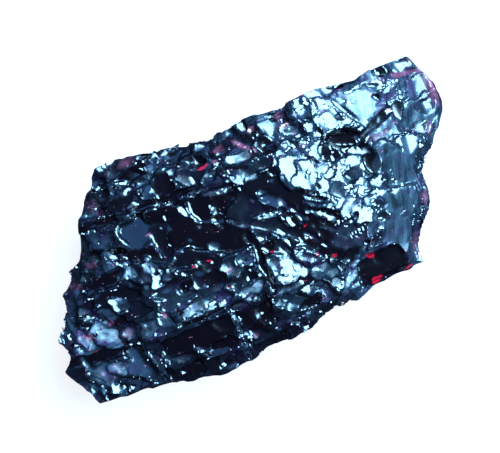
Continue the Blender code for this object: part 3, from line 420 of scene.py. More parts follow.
# Rows of small bright chips along the lips of the breaks: the size of the chips, and the way they run.
SEAMS = [
    (0.16, (-19.8, 14.3), (-18.8, 14.1), (-17.9, 14.6), (-17.1, 15.5)),
    (0.12, (-19.0, 12.8), (-18.0, 13.7)),
    (0.15, (-17.2, 16.2), (-16.0, 16.4), (-14.9, 17.0)),
    (0.1, (-14.0, 15.3), (-12.3, 15.9)),
    (0.14, (-12.2, 16.1), (-10.0, 16.1)),
    (0.16, (-15.7, 13.8), (-14.8, 13.4), (-13.9, 12.9)),
    (0.12, (-16.6, 14.0), (-16.0, 13.0)),
    (0.14, (-11.6, 14.4), (-10.2, 13.0)),
    (0.1, (-21.5, 10.1), (-19.6, 10.2), (-17.9, 9.8)),
    (0.13, (-23.4, 8.9), (-21.6, 8.7), (-20.0, 8.6), (-18.0, 8.5)),
    (0.1, (-16.4, 8.6), (-14.2, 8.5), (-11.8, 8.4)),
    (0.12, (-11.9, 8.3), (-10.9, 8.8), (-9.2, 8.7)),
    (0.13, (-7.6, 8.8), (-7.3, 8.3), (-6.0, 8.3), (-4.3, 8.5)),
    (0.12, (-4.8, 7.6), (-2.6, 7.3), (0.2, 7.6)),
    (0.14, (0.2, 7.6), (1.2, 7.4), (2.4, 8.0)),
    (0.1, (3.0, 9.6), (5.0, 9.7), (6.6, 9.6)),
    (0.1, (-19.6, 6.8), (-19.3, 5.5), (-18.9, 5.0), (-17.8, 4.9)),
    (0.1, (-22.8, 7.4), (-21.4, 6.9), (-20.2, 6.7)),
    (0.14, (-25.8, 5.1), (-25.0, 4.3)),
    (0.16, (-25.1, 3.5), (-24.9, 2.8)),
    (0.14, (-23.9, 3.1), (-23.4, 2.9)),
    (0.16, (-20.9, 4.8), (-19.7, 3.8), (-19.3, 3.0), (-18.6, 2.5), (-17.4, 2.3)),
    (0.15, (-20.4, 1.0), (-19.0, 0.6), (-18.0, 1.2), (-17.2, 0.6)),
    (0.13, (-17.0, 2.2), (-15.8, 2.1), (-15.0, 1.7)),
    (0.18, (-15.6, 1.2), (-14.8, 0.6), (-14.2, -0.2)),
    (0.14, (-13.8, 3.3), (-13.4, 1.8)),
    (0.16, (-4.7, 5.7), (-3.8, 5.6), (-3.3, 4.7), (-3.0, 3.6)),
    (0.1, (-2.9, 3.4), (-2.2, 2.6), (-1.2, 2.0)),
    (0.12, (2.2, 5.5), (2.6, 4.8), (3.4, 4.7)),
    (0.11, (1.2, 2.0), (2.6, 2.1), (4.2, 1.7)),
    (0.12, (4.8, 1.3), (5.8, 0.6)),
    (0.15, (-12.6, -0.5), (-11.4, -1.3), (-10.2, -2.5)),
    (0.12, (-9.0, -0.6), (-8.3, -1.4), (-7.0, -1.4), (-6.3, -0.6)),
    (0.15, (-3.9, -2.9), (-3.0, -3.4), (-2.2, -2.6)),
    (0.14, (-28.8, -1.9), (-28.4, -3.0)),
    (0.16, (-30.1, -3.6), (-29.6, -4.7), (-30.0, -5.5)),
    (0.16, (-29.4, -5.4), (-28.8, -6.9)),
    (0.17, (-25.7, -3.5), (-24.9, -3.0), (-24.2, -3.6)),
    (0.13, (-27.6, -1.6), (-26.0, -2.3), (-25.2, -2.9)),
    (0.14, (-26.8, -5.6), (-25.8, -5.0), (-25.0, -4.6)),
    (0.16, (-22.7, -8.1), (-21.5, -8.2), (-20.2, -8.6)),
    (0.12, (-22.6, -5.5), (-21.4, -5.4)),
    (0.13, (-19.6, -2.9), (-18.9, -3.3)),
    (0.15, (-29.6, -8.4), (-29.2, -9.6), (-28.8, -10.5)),
    (0.13, (-29.4, -10.8), (-28.8, -11.8), (-27.9, -12.7), (-27.2, -13.3)),
    (0.15, (-25.9, -12.3), (-24.9, -12.8)),
    (0.1, (-24.2, -12.0), (-23.0, -12.9), (-21.8, -13.6)),
    (0.12, (-19.4, -11.0), (-19.0, -12.4)),
    (0.16, (-13.7, -6.0), (-13.3, -6.6), (-13.6, -7.4)),
    (0.17, (-13.4, -7.6), (-12.2, -7.5), (-11.2, -7.1)),
    (0.15, (-10.6, -7.4), (-9.4, -6.6), (-8.6, -7.0), (-6.9, -7.4)),
    (0.13, (-11.8, -8.8), (-9.8, -8.5), (-8.2, -8.6), (-5.8, -8.9)),
    (0.16, (-5.3, -6.4), (-4.8, -7.3)),
    (0.2, (-3.7, -8.2), (-2.9, -8.7), (-2.2, -8.1), (-1.6, -7.7)),
    (0.14, (-1.4, -8.4), (-0.8, -9.4)),
    (0.13, (-7.2, -9.6), (-7.0, -11.0), (-6.7, -12.2)),
    (0.17, (-6.6, -12.8), (-5.7, -13.1)),
    (0.14, (-13.7, -11.9), (-12.6, -12.9), (-11.8, -13.4)),
    (0.1, (-9.0, -13.9), (-6.6, -13.7)),
    (0.18, (1.0, -4.0), (2.2, -4.4), (3.0, -5.2)),
    (0.16, (1.8, -5.6), (1.4, -6.6), (2.6, -7.2)),
    (0.16, (3.6, -5.8), (3.2, -6.6), (2.4, -7.8), (1.4, -7.7)),
    (0.15, (4.4, -4.2), (5.0, -5.0)),
    (0.15, (2.8, -9.4), (4.2, -9.6), (5.4, -9.0)),
    (0.17, (5.4, -9.8), (5.2, -10.9), (6.2, -11.5)),
    (0.14, (2.6, -12.6), (3.8, -12.5), (5.0, -12.3)),
    (0.15, (1.6, -13.3), (2.4, -13.0), (3.8, -13.7)),
    (0.15, (4.6, -13.8), (5.6, -13.6)),
    (0.15, (8.1, -11.2), (8.7, -10.5), (9.3, -10.2)),
    (0.17, (9.3, -8.3), (9.9, -9.0), (10.4, -9.7)),
    (0.12, (10.6, -2.8), (12.0, -2.3), (13.6, -2.0)),
    (0.12, (12.0, -3.3), (13.4, -2.9)),
    (0.14, (12.2, -5.1), (12.9, -4.4), (13.6, -4.4)),
    (0.1, (13.0, -5.4), (13.8, -4.8), (14.8, -4.0)),
    (0.12, (14.0, -6.8), (15.6, -5.9), (17.0, -5.2)),
    (0.17, (14.3, -3.2), (15.3, -2.8), (15.7, -2.0)),
    (0.15, (16.2, -1.9), (17.2, -1.2), (18.4, -0.6)),
    (0.15, (17.9, 1.5), (18.6, 0.8), (19.8, 0.9)),
    (0.16, (8.2, 9.3), (9.6, 9.6)),
    (0.18, (10.4, 8.9), (11.8, 8.2)),
    (0.15, (8.2, 4.2), (9.2, 4.8), (10.2, 5.6)),
    (0.18, (10.4, 4.9), (11.4, 4.2), (12.0, 5.6)),
    (0.18, (13.0, 5.9), (13.3, 4.8), (14.6, 4.4)),
    (0.2, (14.6, 5.6), (15.6, 4.4)),
    (0.17, (11.2, 3.6), (12.4, 3.3), (14.2, 3.5), (15.6, 4.0)),
    (0.17, (10.9, 2.2), (11.6, 1.2), (12.0, 0.3)),
    (0.17, (14.0, 1.7), (15.1, 1.6), (14.2, 0.6)),
    (0.15, (13.9, -0.6), (14.6, 0.2), (15.9, 0.1)),
    (0.17, (11.4, 14.0), (12.6, 14.4), (14.0, 14.8)),
    (0.16, (13.9, 13.1), (15.4, 13.6), (16.0, 12.6)),
    (0.14, (14.5, 12.0), (15.4, 11.4), (15.8, 10.2)),
    (0.14, (13.6, 9.2), (14.6, 9.7), (15.9, 9.9), (17.0, 9.7)),
    (0.12, (10.4, 9.7), (11.0, 9.2), (11.9, 9.8)),
    (0.14, (17.6, 12.9), (18.6, 12.9), (19.6, 12.3)),
    (0.16, (18.4, 14.3), (19.6, 14.0), (21.2, 14.4)),
    (0.15, (17.2, 11.6), (17.8, 10.2), (18.5, 9.2)),
    (0.14, (24.3, 12.8), (25.4, 13.3), (26.6, 13.4)),
    (0.1, (26.0, 12.8), (26.6, 11.4), (27.6, 11.2)),
    (0.1, (23.5, 5.7), (24.8, 5.9), (26.4, 5.8)),
    (0.1, (26.5, 5.4), (26.4, 3.6)),
    (0.1, (26.2, 2.2), (25.4, 0.4)),
    (0.1, (21.0, 1.9), (20.8, 0.4), (22.2, -1.2)),
    (0.1, (19.6, -4.6), (20.8, -4.2)),
    (0.1, (22.4, -3.8), (22.0, -5.2), (21.2, -6.6)),
    (0.1, (23.8, -3.6), (23.2, -5.4), (22.4, -7.2)),
]
# Single bright chips: the middle, half length, half width and turn.
GLINTS = [
    (-22.4, 10.0, 0.22, 0.11, 0), (-19.7, 11.6, 0.15, 0.11, 0), (-11.0, 15.3, 0.22, 0.15, 30),
    (-12.0, 15.5, 0.22, 0.15, 0), (-8.2, 11.3, 0.19, 0.15, 0), (-2.8, 9.8, 0.21, 0.15, 0),
    (-1.4, 11.0, 0.15, 0.15, 0), (-10.9, 6.8, 0.17, 0.38, 5), (-8.4, 7.2, 0.3, 0.22, 30),
    (-11.9, 5.6, 0.21, 0.14, -10), (-11.6, 2.9, 0.21, 0.14, -10), (-6.9, 4.9, 0.15, 0.11, 0),
    (-25.4, 1.3, 0.38, 0.15, -20), (-24.8, -0.1, 0.52, 0.14, -10), (-21.2, -0.1, 0.3, 0.11, 0),
    (-20.2, -1.7, 0.19, 0.11, 0), (-16.0, -2.7, 0.3, 0.19, 10), (-16.4, -5.5, 0.38, 0.19, -30),
    (-11.5, -4.4, 0.15, 0.11, 0), (-11.6, -4.9, 0.15, 0.09, 0), (-13.4, -5.1, 0.19, 0.15, 0),
    (-2.3, -4.3, 0.19, 0.11, 10), (-24.9, -9.7, 0.22, 0.13, 15), (-5.8, -13.7, 0.19, 0.11, 0),
    (-3.0, -10.6, 0.26, 0.26, 0), (-2.4, -12.3, 0.15, 0.24, 0), (-12.4, -13.9, 0.19, 0.11, 0),
    (-24.1, -14.1, 0.34, 0.19, 0), (-29.4, -14.3, 0.22, 0.11, 0), (-30.7, -13.2, 0.15, 0.09, 0),
    (1.2, -1.0, 0.19, 0.11, 0), (1.5, -1.4, 0.19, 0.11, 0), (5.6, -3.5, 0.15, 0.13, 0),
    (6.4, -2.8, 0.3, 0.1, -15), (10.8, -3.9, 0.2, 0.1, 0),
    (8.3, -4.7, 0.17, 0.12, 0), (8.2, -6.2, 0.17, 0.11, 0), (7.5, -6.7, 0.19, 0.14, 0),
    (10.4, -1.6, 0.15, 0.15, 0), (11.3, -0.4, 0.22, 0.17, 0),
    (6.4, -7.5, 0.22, 0.15, 0),
    (17.7, -8.1, 0.22, 0.14, 0), (6.6, -12.7, 0.17, 0.15, 0), (17.3, 3.5, 0.3, 0.65, 12),
    (19.4, 7.0, 0.5, 0.17, 45), (16.7, 6.2, 0.45, 0.3, -40), (14.1, 7.6, 0.2, 0.2, 0),
    (14.1, 6.9, 0.2, 0.15, 0), (15.9, 0.6, 0.4, 0.5, 0), (14.6, 1.6, 0.5, 0.3, 10),
    (10.6, 10.6, 0.22, 0.11, 0), (13.9, 12.3, 0.2, 0.2, 0), (12.8, 8.9, 0.4, 0.17, 20),
    (26.5, 3.4, 0.35, 0.4, 0), (23.6, 3.7, 0.17, 0.17, 0), (24.4, 15.2, 0.22, 0.2, 0),
    (28.7, 15.0, 0.2, 0.2, 0), (25.0, 10.8, 0.17, 0.14, 0), (18.6, 15.2, 0.3, 0.15, 0),
    (20.7, -4.3, 0.25, 0.15, 0), (17.3, -3.0, 0.5, 0.15, 20), (5.3, 12.9, 0.09, 0.45, 0),
    (9.2, 12.9, 0.3, 0.19, -30), (4.5, 14.0, 0.3, 0.17, -30), (2.4, 12.7, 0.3, 0.15, 20),
    (3.1, 12.0, 0.3, 0.17, -60), (3.6, 11.2, 0.19, 0.19, 0), (0.6, 10.8, 0.19, 0.38, 0),
]

WALL, EDGE = 0.2, 0.15  # width of a break's wall, and the most it may be as a share of its size
WANDER = 0.18  # how far a break's outline wanders, as a share of its size
SIDES, ROUNDING = 5, 4  # how many sides a break has, and how sharp its corners are
RAISED = 0.6  # the most that a floor is raised
TILT_STRAY, FACING_STRAY = 3, 20  # how far a floor may stray from its aim, in degrees
# How steep a floor is and which way it looks, in degrees. Lit ones mirror the softbox, glow, chevron and
# end ones catch its rim or halo, back ones the fill, and dusk and dark ones look past them all.
AIMS = {"lit": (15, 20), "glow": (6.5, 25), "dusk": (5, 40), "back": (19, 105), "dark": (4, 205),
        "end": (22, -30), "chevron": (11, 20)}
FIELD = 80  # side of a square that holds the stone with room to spare
PEAK = 0.5  # how far anything may stand over the mean height around it
PEAK_CELL, PEAK_REACH = 0.5, 2  # size of the cells, and how many are taken on each side


def find_break(points, x, y, length, width, turn):
    """The points near a break, and how far out each is, with 1 on its outline of a few uneven sides."""
    near = np.flatnonzero(np.hypot(points[:, 0] - x, points[:, 1] - y) < max(length, width) * 1.7)
    dx, dy = points[near, 0] - x, points[near, 1] - y
    size = math.sqrt(length * width)
    wander = np.array([noise.noise((px / size, py / size, turn)) for px, py in zip(dx, dy)])
    turn = math.radians(turn)
    u = (dx * math.cos(turn) + dy * math.sin(turn)) / length
    v = (dy * math.cos(turn) - dx * math.sin(turn)) / width
    sides = np.zeros(len(near))
    for side in range(SIDES):
        angle = math.tau * (side + noise.noise((x, y, side + 0.3))) / SIDES
        reach = 1.05 + 0.6 * noise.noise((x, y, side + 0.7))
        sides += np.maximum((u * math.cos(angle) + v * math.sin(angle)) / reach, 0) ** ROUNDING
    return near, dx, dy, sides ** (1 / ROUNDING) * (1 + 2 * WANDER * wander)


def find_face(points, *corners):
    """As find_break, for a face with straight sides, whose corners run clockwise. Out is in mm past 1."""
    middle = np.mean(corners, axis=0)
    dx, dy = points[:, 0] - middle[0], points[:, 1] - middle[1]
    out = np.full(len(points), -np.inf)
    for (x0, y0), (x1, y1) in zip(corners, corners[1:] + corners[:1]):
        run = math.hypot(x1 - x0, y1 - y0)
        out = np.maximum(out, 1 + ((points[:, 1] - y0) * (x1 - x0) - (points[:, 0] - x0) * (y1 - y0)) / run)
    near = np.flatnonzero(out < 2)
    wander = np.array([noise.noise((px / 1.2, py / 1.2, 0.5)) for px, py in points[near, :2]])
    return near, dx[near], dy[near], out[near] + 0.4 * wander


def is_straight(outline):
    """A break's outline is a row of corners, or else a middle, half length, half width and turn."""
    return isinstance(outline[0], tuple)


def find_outline(points, outline):
    """As find_break or find_face, whichever the outline needs."""
    return find_face(points, *outline) if is_straight(outline) else find_break(points, *outline)


def cut_breaks(mesh, breaks):
    """Lays each break's floor into the top, the later over the earlier, and cuts off what stands over it."""
    points, normals = surface_arrays(mesh)
    above = np.flatnonzero(points[:, 2] > points[:, 2].max() / 3)
    upright = np.clip((normals[:, 2] - 0.35) / 0.3, 0, 1)
    for *outline, depth, aim, dish, crumbled, frosted in breaks:
        if aim is None:
            continue
        near, dx, dy, out = find_outline(points[above], outline)
        near = above[near]
        inside = near[(out < 1) & (upright[near] > 0)]
        if not len(inside):
            continue
        tilt, facing = AIMS[aim]
        x, y = outline[0] if is_straight(outline) else outline[:2]
        stray = noise.noise_vector((x, y, 0.5))
        tilt = math.radians(tilt + TILT_STRAY * stray.x)
        facing = math.radians(facing + FACING_STRAY * stray.y)
        slope = dx * math.cos(facing) + dy * math.sin(facing)
        level = points[inside, 2].mean() - depth
        floor = level - math.tan(tilt) * slope + dish * (out**2 - 0.5)
        wall = WALL if is_straight(outline) else min(WALL / math.sqrt(outline[2] * outline[3]), EDGE)
        share = np.clip((1 + wall - out) / wall, 0, 1)
        change = share * np.minimum(floor - points[near, 2], RAISED)
        points[near, 2] += np.where(change > 0, change * upright[near], change)
    place_points(mesh, points)


def trim_peaks(mesh):
    """Cuts off what stands more than a little over the ground around it, which is taken cell by cell."""
    points, normals = surface_arrays(mesh)
    cells = ((points[:, :2] + FIELD / 2) / PEAK_CELL).astype(int)
    size = int(FIELD / PEAK_CELL)
    top = normals[:, 2] > 0.3
    height, count = np.zeros((size, size)), np.zeros((size, size))
    np.add.at(height, tuple(cells[top].T), points[top, 2])
    np.add.at(count, tuple(cells[top].T), 1)
    reach = range(-PEAK_REACH, PEAK_REACH + 1)
    height = sum(np.roll(height, (i, j), (0, 1)) for i in reach for j in reach)
    count = sum(np.roll(count, (i, j), (0, 1)) for i in reach for j in reach)
    limit = np.where(count > 0, height / np.maximum(count, 1) + PEAK, np.inf)[tuple(cells.T)]
    points[:, 2] = np.minimum(points[:, 2], limit)
    place_points(mesh, points)


def in_end_face(points):
    """1 on the frosted face at the stone's right end, fading to 0 left of it."""
    edge = 20 + 0.8 * np.minimum(points[:, 1] - 2, 0)
    return np.clip((points[:, 0] - edge) / 1.5 + 0.5, 0, 1)


TOP_CRUMBLE, SIDE_CRUMBLE, END_CRUMBLE = 0.1, 0.3, 0.12
CLEAN_FROST, END_FROST = 0.015, 0.45


def find_finish(mesh, breaks):
    """How crumbled and how frosted the stone is at each point. The frosting also sets how much pale haze
    colour, partly a painted sheen, the stone shows.
    """
    points, normals = surface_arrays(mesh)
    top = np.flatnonzero(normals[:, 2] > 0.15)
    crumble = np.where(normals[:, 2] > 0.15, TOP_CRUMBLE, SIDE_CRUMBLE)
    frost_and_sheen = np.full(len(points), CLEAN_FROST)
    end = in_end_face(points)
    crumble += end * (END_CRUMBLE - crumble)
    frost_and_sheen += end * (END_FROST - frost_and_sheen)
    for *outline, depth, aim, dish, crumbled, frosted in breaks:
        near, dx, dy, out = find_outline(points[top], outline)
        near = top[near]
        share = np.clip((1.15 - out) / 0.3, 0, 1)
        crumble[near] += share * (crumbled - crumble[near])
        frost_and_sheen[near] += share * (frosted - frost_and_sheen[near])
    return crumble, frost_and_sheen


def flake_cut(offsets, normal, along, length, width, depth, lean):
    """How far each point stands over a flake's hollow floor. The flake's middle is the origin."""
    across = np.cross(normal, along)
    u, v, height = offsets @ along, offsets @ across, offsets @ normal
    floor = depth * ((u / length) ** 2 + (v / width) ** 2 - 1) + lean[0] * u + lean[1] * v
    return height - floor


def strike_flakes(mesh, chance, spacing, size, depth, lean, share, grain, spread):
    """Chips the surface with flakes of about one size, each cut into what the last one left.

    At each point, lean is how far its flakes may lean, share its chance of one and grain the way they lie.
    spread is how far they stray from that.
    """
    points, normals = surface_arrays(mesh)
    tree = KDTree(len(points))
    for index, point in enumerate(points):
        tree.insert(point, index)
    tree.balance()
    taken = np.zeros(len(points), bool)
    for middle in chance.permutation(len(points)):
        if taken[middle]:
            continue
        near = tree.find_range(points[middle], spacing)
        taken[[hit[1] for hit in near]] = True
        if chance.random() > share[middle]:
            continue
        normal = normals[middle]
        angle = grain[middle] + chance.normal() * spread
        along = np.array((math.cos(angle), math.sin(angle), 0.1))
        along -= (along @ normal) * normal
        along /= np.linalg.norm(along)
        scale = chance.uniform(0.6, 1.4)
        length, width = size[0] * scale, size[1] * scale
        reach = [hit[1] for hit in tree.find_range(points[middle], max(length, width) * 1.6)]
        slope = chance.normal(size=2) * lean[middle]
        cut = flake_cut(points[reach] - points[middle], normal, along, length, width,
                        depth * scale * chance.uniform(0.6, 1.4), slope)
        away = np.linalg.norm(points[reach] - points[middle], axis=1)
        cut = np.clip(cut, 0, width / 4) * np.clip(0.7 + 3 * (normals[reach] @ normal), 0, 1)
        cut *= np.clip((1.6 - away / max(length, width)) / 0.4, 0, 1)
        points[reach] -= normal * cut[:, None]
    place_points(mesh, points)


CHIP_GAP = 3.2  # how far apart a seam's chips are, in half widths
RIGHT_AIMS = ("lit", "lit", "lit", "glow")
LEFT_AIMS = ("lit", "glow", "glow", "dark")


def lay_chips(chance, seams, glints):
    """The seams' and glints' chips, as breaks: most face the light, the rest lie a little off it."""
    chips = [(x, y, length, width, turn, 0, "lit", 0, 0, 0.05) for x, y, length, width, turn in glints]
    for size, *path in seams:
        for (x0, y0), (x1, y1) in zip(path, path[1:]):
            run = math.hypot(x1 - x0, y1 - y0)
            turn = math.degrees(math.atan2(y1 - y0, x1 - x0))
            for step in np.arange(0.5, max(run / (CHIP_GAP * size), 1)) * CHIP_GAP * size / run:
                x = x0 + (x1 - x0) * step + chance.normal() * size / 2
                y = y0 + (y1 - y0) * step + chance.normal() * size / 2
                scale = chance.uniform(0.6, 1.3)
                aim = chance.choice(RIGHT_AIMS if x > 8 else LEFT_AIMS)
                length = size * chance.uniform(1, 2.6) * scale
                chips.append((x, y, length, size * scale, turn + chance.normal() * 30, 0, aim, 0, 0, 0.05))
    return chips


BASE_GAP, BASE_TRIES = 1.3, 6000
# The aims of the small breaks under the listed ones, and how dished, crumbled and frosted they may be.
BRIGHT_BASE = ("lit", "lit", "lit", "lit", "glow", "dusk"), 0.06, 0.3, (0.3, 0.5)
DARK_BASE = ("dark", "dark", "dark", "dusk", "dusk", "back"), 0.1, 0.15, (0, 0.2)


def lay_base(chance, mesh):
    """Small breaks all over the top for the listed ones to be cut into, most of them off the light."""
    points, normals = surface_arrays(mesh)
    top = points[(normals[:, 2] > 0.5) & (in_end_face(points) < 0.3)]
    rows, taken = [], np.empty((0, 2))
    for x, y, z in top[chance.permutation(len(top))[:BASE_TRIES]]:
        if len(taken) and np.hypot(*(taken - (x, y)).T).min() < BASE_GAP:
            continue
        taken = np.vstack((taken, (x, y)))
        bright = math.hypot((x - 12) / 5.5, (y - 8) / 9) < 1
        aims, dish, crumbled, frosted = BRIGHT_BASE if bright else DARK_BASE
        rows.append((x, y, chance.uniform(1, 2.2), chance.uniform(0.6, 1.2), chance.normal(-15, 30),
                     chance.uniform(-0.05, 0.15), chance.choice(aims), chance.uniform(0, dish),
                     chance.uniform(0, crumbled), chance.uniform(*frosted)))
    return rows


# The places where a red glint is painted into the colour, standing in for light that comes back red from a
# crack inside, and those where a pink glow is painted, standing in for light that shines through a thin
# edge: the middle, half length, half width, turn and strength of each.
PAINTED_RED_GLINTS = [
    (14.1, -8.4, 0.6, 0.45, -30, 1.0), (13.8, -11.9, 1.0, 0.4, 0, 1.0), (12.5, -10.3, 0.4, 0.3, 0, 0.5),
    (13.6, -10.5, 0.4, 0.2, 0, 0.6), (18.1, -12.3, 1.3, 0.35, 25, 0.9), (20.7, -10.8, 0.7, 0.3, 65, 0.8),
    (-3.5, 11.4, 0.8, 0.3, 5, 0.9), (23.9, 9.7, 0.4, 0.3, 0, 0.9), (6.9, -1.2, 0.3, 0.2, 0, 0.9),
    (6.6, -2.9, 0.3, 0.15, 0, 0.8), (7.1, -5.5, 0.3, 0.4, 0, 0.8), (9.2, -6.5, 0.5, 0.3, 0, 0.8),
    (1.3, -3.0, 0.35, 0.3, 20, 0.8), (-7.3, -1.0, 0.35, 0.2, 0, 1.0), (-9.5, -1.0, 0.3, 0.2, 0, 1.0),
    (-5.6, -5.6, 0.6, 0.3, 30, 0.7), (-26.8, -7.5, 0.9, 0.2, -10, 0.7), (9.9, 13.6, 0.8, 0.5, 0, 0.5),
    (14.8, -7.3, 0.5, 0.2, 30, 0.7), (25.2, 15.3, 0.5, 0.3, 0, 0.6), (4.1, -8.4, 0.4, 0.25, 0, 0.8),
]
PAINTED_PINK_GLOWS = [
    (32.6, 10.2, 2.0, 3.4, 10, 0.65), (28.3, 14.0, 2.4, 0.3, -6, 0.4), (24.6, -3.4, 0.4, 0.9, -20, 0.35),
    (28.7, 5.3, 0.5, 0.7, 0, 0.3), (21.5, 6.9, 1.2, 0.25, 5, 0.35), (-27.2, -5.2, 0.5, 0.4, 0, 0.6),
    (-15.9, -5.8, 0.4, 0.25, -30, 0.6), (-23.6, -4.4, 0.4, 0.3, 0, 0.35), (-20.2, 12.2, 1.6, 0.9, -40, 0.1),
    (-26.3, 2.2, 0.9, 0.4, -20, 0.15), (-13.6, 16.0, 1.1, 0.4, 0, 0.2), (20.9, -9.2, 0.5, 1.0, -20, 0.2),
    (-0.7, 13.1, 0.6, 0.4, 0, 0.35), (4.4, 14.1, 0.5, 0.3, -20, 0.6), (2.9, 12.2, 1.2, 0.3, -50, 0.6),
    (3.7, 11.0, 0.3, 0.3, 0, 0.5), (8.9, 14.5, 0.5, 0.5, 0, 0.25), (9.1, 12.9, 0.5, 0.3, 0, 0.5),
    (10.8, 9.3, 0.4, 0.25, 0, 0.3), (-23.3, 4.2, 0.6, 0.4, 0, 0.2), (-21.8, -6.5, 0.6, 0.4, 0, 0.2),
    (-1.6, 11.6, 0.3, 0.2, 0, 0.7), (-5.1, -3.2, 0.4, 0.2, 0, 0.5), (-5.0, -13.3, 0.4, 0.3, 0, 0.2),
    (23.6, 14.3, 1.0, 0.5, 0, 0.15), (29.8, 15.2, 0.9, 0.4, 0, 0.2), (-13.8, 5.4, 0.25, 0.12, 0, 0.7),
]
LOWEST_SPOT = 12  # no spot lies lower down the stone's sides


def mark_spots(mesh, name, spots, fade):
    """Writes how strongly each point shows a listed spot, which fades out over a share of its size."""
    points, normals = surface_arrays(mesh)
    strong = np.zeros(len(points))
    for x, y, length, width, turn, strength in spots:
        near, dx, dy, out = find_break(points, x, y, length, width, turn)
        share = np.clip((1 - out) / fade + 0.5, 0, 1) * (points[near, 2] > LOWEST_SPOT)
        share *= np.clip((normals[near, 2] - 0.2) / 0.3, 0, 1)
        strong[near] = np.maximum(strong[near], share * strength)
    mesh.attributes.new(name, "FLOAT", "POINT").data.foreach_set("value", strong)
    return np.flatnonzero(strong).tolist()


# The big flakes come first, on the sides and the underside alone, then the breaks, the finer flakes and
# the chips. Each row is how far apart its flakes are, their half length and half width, how deep they
# are, how far they lean, and the share that is struck, or for the finer ones how far their grain strays.
SIDE_FLAKES = [(2.4, (2.8, 1.7), 0.22, 0.05, 1), (1.3, (1.6, 0.9), 0.1, 0.08, 0.5)]
FINE_FLAKES = [(0.9, (1.1, 0.6), 0.05, 1, 0.5), (0.4, (0.5, 0.28), 0.02, 1.2, 0.6)]
LEFT_LEAN, RIGHT_LEAN = 0.05, 0.08
GRAIN, END_GRAIN = 8, 76  # the way the finer flakes lie, in degrees

chance = np.random.default_rng(SEED)
on_side = np.where(surface_arrays(stone_mesh)[1][:, 2] > 0.2, 0.0, 1.0)
for spacing, size, depth, lean, share in SIDE_FLAKES:
    strike_flakes(stone_mesh, chance, spacing, size, depth, lean * on_side, share * on_side,
                  0.1 * on_side, 2)
chips = lay_chips(np.random.default_rng(SEED), SEAMS, GLINTS)
breaks = lay_base(np.random.default_rng(SEED), stone_mesh) + BREAKS
cut_breaks(stone_mesh, breaks)
trim_peaks(stone_mesh)
stone_mesh = add_skin(stone, 1)
crumble = find_finish(stone_mesh, breaks)[0]
points = surface_arrays(stone_mesh)[0]
end = in_end_face(points)
grain = np.radians(GRAIN + (END_GRAIN - GRAIN) * end)
lean = np.where(points[:, 0] < 6, LEFT_LEAN, RIGHT_LEAN) * (1 - 0.6 * end)
for spacing, size, depth, steeper, spread in FINE_FLAKES:
    strike_flakes(stone_mesh, chance, spacing, size, depth, steeper * lean, crumble, grain, spread)
cut_breaks(stone_mesh, chips)

# The sides are thinned out, and the top, where the detail is, is left nearly whole. The spots of painted red
# glint and painted pink glow are left whole, so that their edges stay sharp.
TOP_WEIGHT, WEIGHT_FACTOR = 0.9, 1e-5
CREASE = 12  # steps sharper than this many degrees stay sharp

keep = stone.vertex_groups.new(name="top")
upward = np.flatnonzero(surface_arrays(stone_mesh)[1][:, 2] > 0.1)
keep.add(upward.tolist(), TOP_WEIGHT, "REPLACE")
keep.add(mark_spots(stone_mesh, "painted_red_glint", PAINTED_RED_GLINTS, 0.5), 1.0, "REPLACE")
keep.add(mark_spots(stone_mesh, "pink_glow", PAINTED_PINK_GLOWS, 1.0), 1.0, "REPLACE")
thin = stone.modifiers.new("thin_out", "DECIMATE")
thin.ratio = TRIANGLES / (2 * len(stone_mesh.vertices))
thin.vertex_group = "top"
thin.invert_vertex_group = True
thin.vertex_group_factor = WEIGHT_FACTOR
stone_mesh = apply_modifiers(stone)
settled = surface_arrays(stone_mesh)[0]
settled[:, 2] = np.maximum(settled[:, 2], 0)
place_points(stone_mesh, settled)
frost_and_sheen_layer = stone_mesh.attributes.new("frost_and_sheen", "FLOAT", "POINT")
frost_and_sheen_layer.data.foreach_set("value", find_finish(stone_mesh, breaks + chips)[1])
streaked = stone_mesh.attributes.new("end_face", "FLOAT", "POINT")
streaked.data.foreach_set("value", in_end_face(surface_arrays(stone_mesh)[0]))
stone_mesh.shade_smooth()
stone_mesh.set_sharp_from_angle(angle=math.radians(CREASE))


def srgb(code):
    """A colour from its sRGB hex code, as linear numbers."""
    parts = [int(code[i:i + 2], 16) / 255 for i in (0, 2, 4)]
    return (*(c / 12.92 if c <= 0.04045 else ((c + 0.055) / 1.055) ** 2.4 for c in parts), 1.0)


def find_input(node, name):
    """An input by name, or by number as i0, i1 and so on. A and B are a Mix node's colours."""
    if name[0] == "i" and name[1:].isdigit():
        return node.inputs[int(name[1:])]
    if node.bl_idname == "ShaderNodeMix" and name in "AB":
        return [socket for socket in node.inputs if socket.name == name and socket.type == "RGBA"][0]
    return node.inputs[name]


def add_node(tree, kind, settings=None, **inputs):
    """Adds a node, sets its properties, and sets or links its inputs."""
    node = tree.nodes.new(kind)
    for name, value in (settings or {}).items():
        setattr(node, name, value)
    for name, value in inputs.items():
        socket = find_input(node, name)
        if isinstance(value, bpy.types.NodeSocket):
            tree.links.new(value, socket)
        else:
            socket.default_value = value
    return node


# Raw almandine garnet, broken and never polished. Clean breaks are black glass with a hard shine, since
# hardly any light gets through. Where it is crumbled or frosted, the fine cracks show as a paler haze, drawn
# out into streaks on the end face. The haze's blue-grey to violet colour is partly the paler crushed surface
# and partly a painted sheen, standing in for the cool light that the rough faces reflect. The red and pink
# are painted light: vivid red glints painted where light would come back from cracks inside, and a pink glow
# painted where it would shine through thin edges.
HAZE, STREAK, TINGE, SPECK, GRIT = 1.6 * MM, 1.2 * MM, 2.4 * MM, 0.7 * MM, 0.5 * MM  # sizes of the patterns

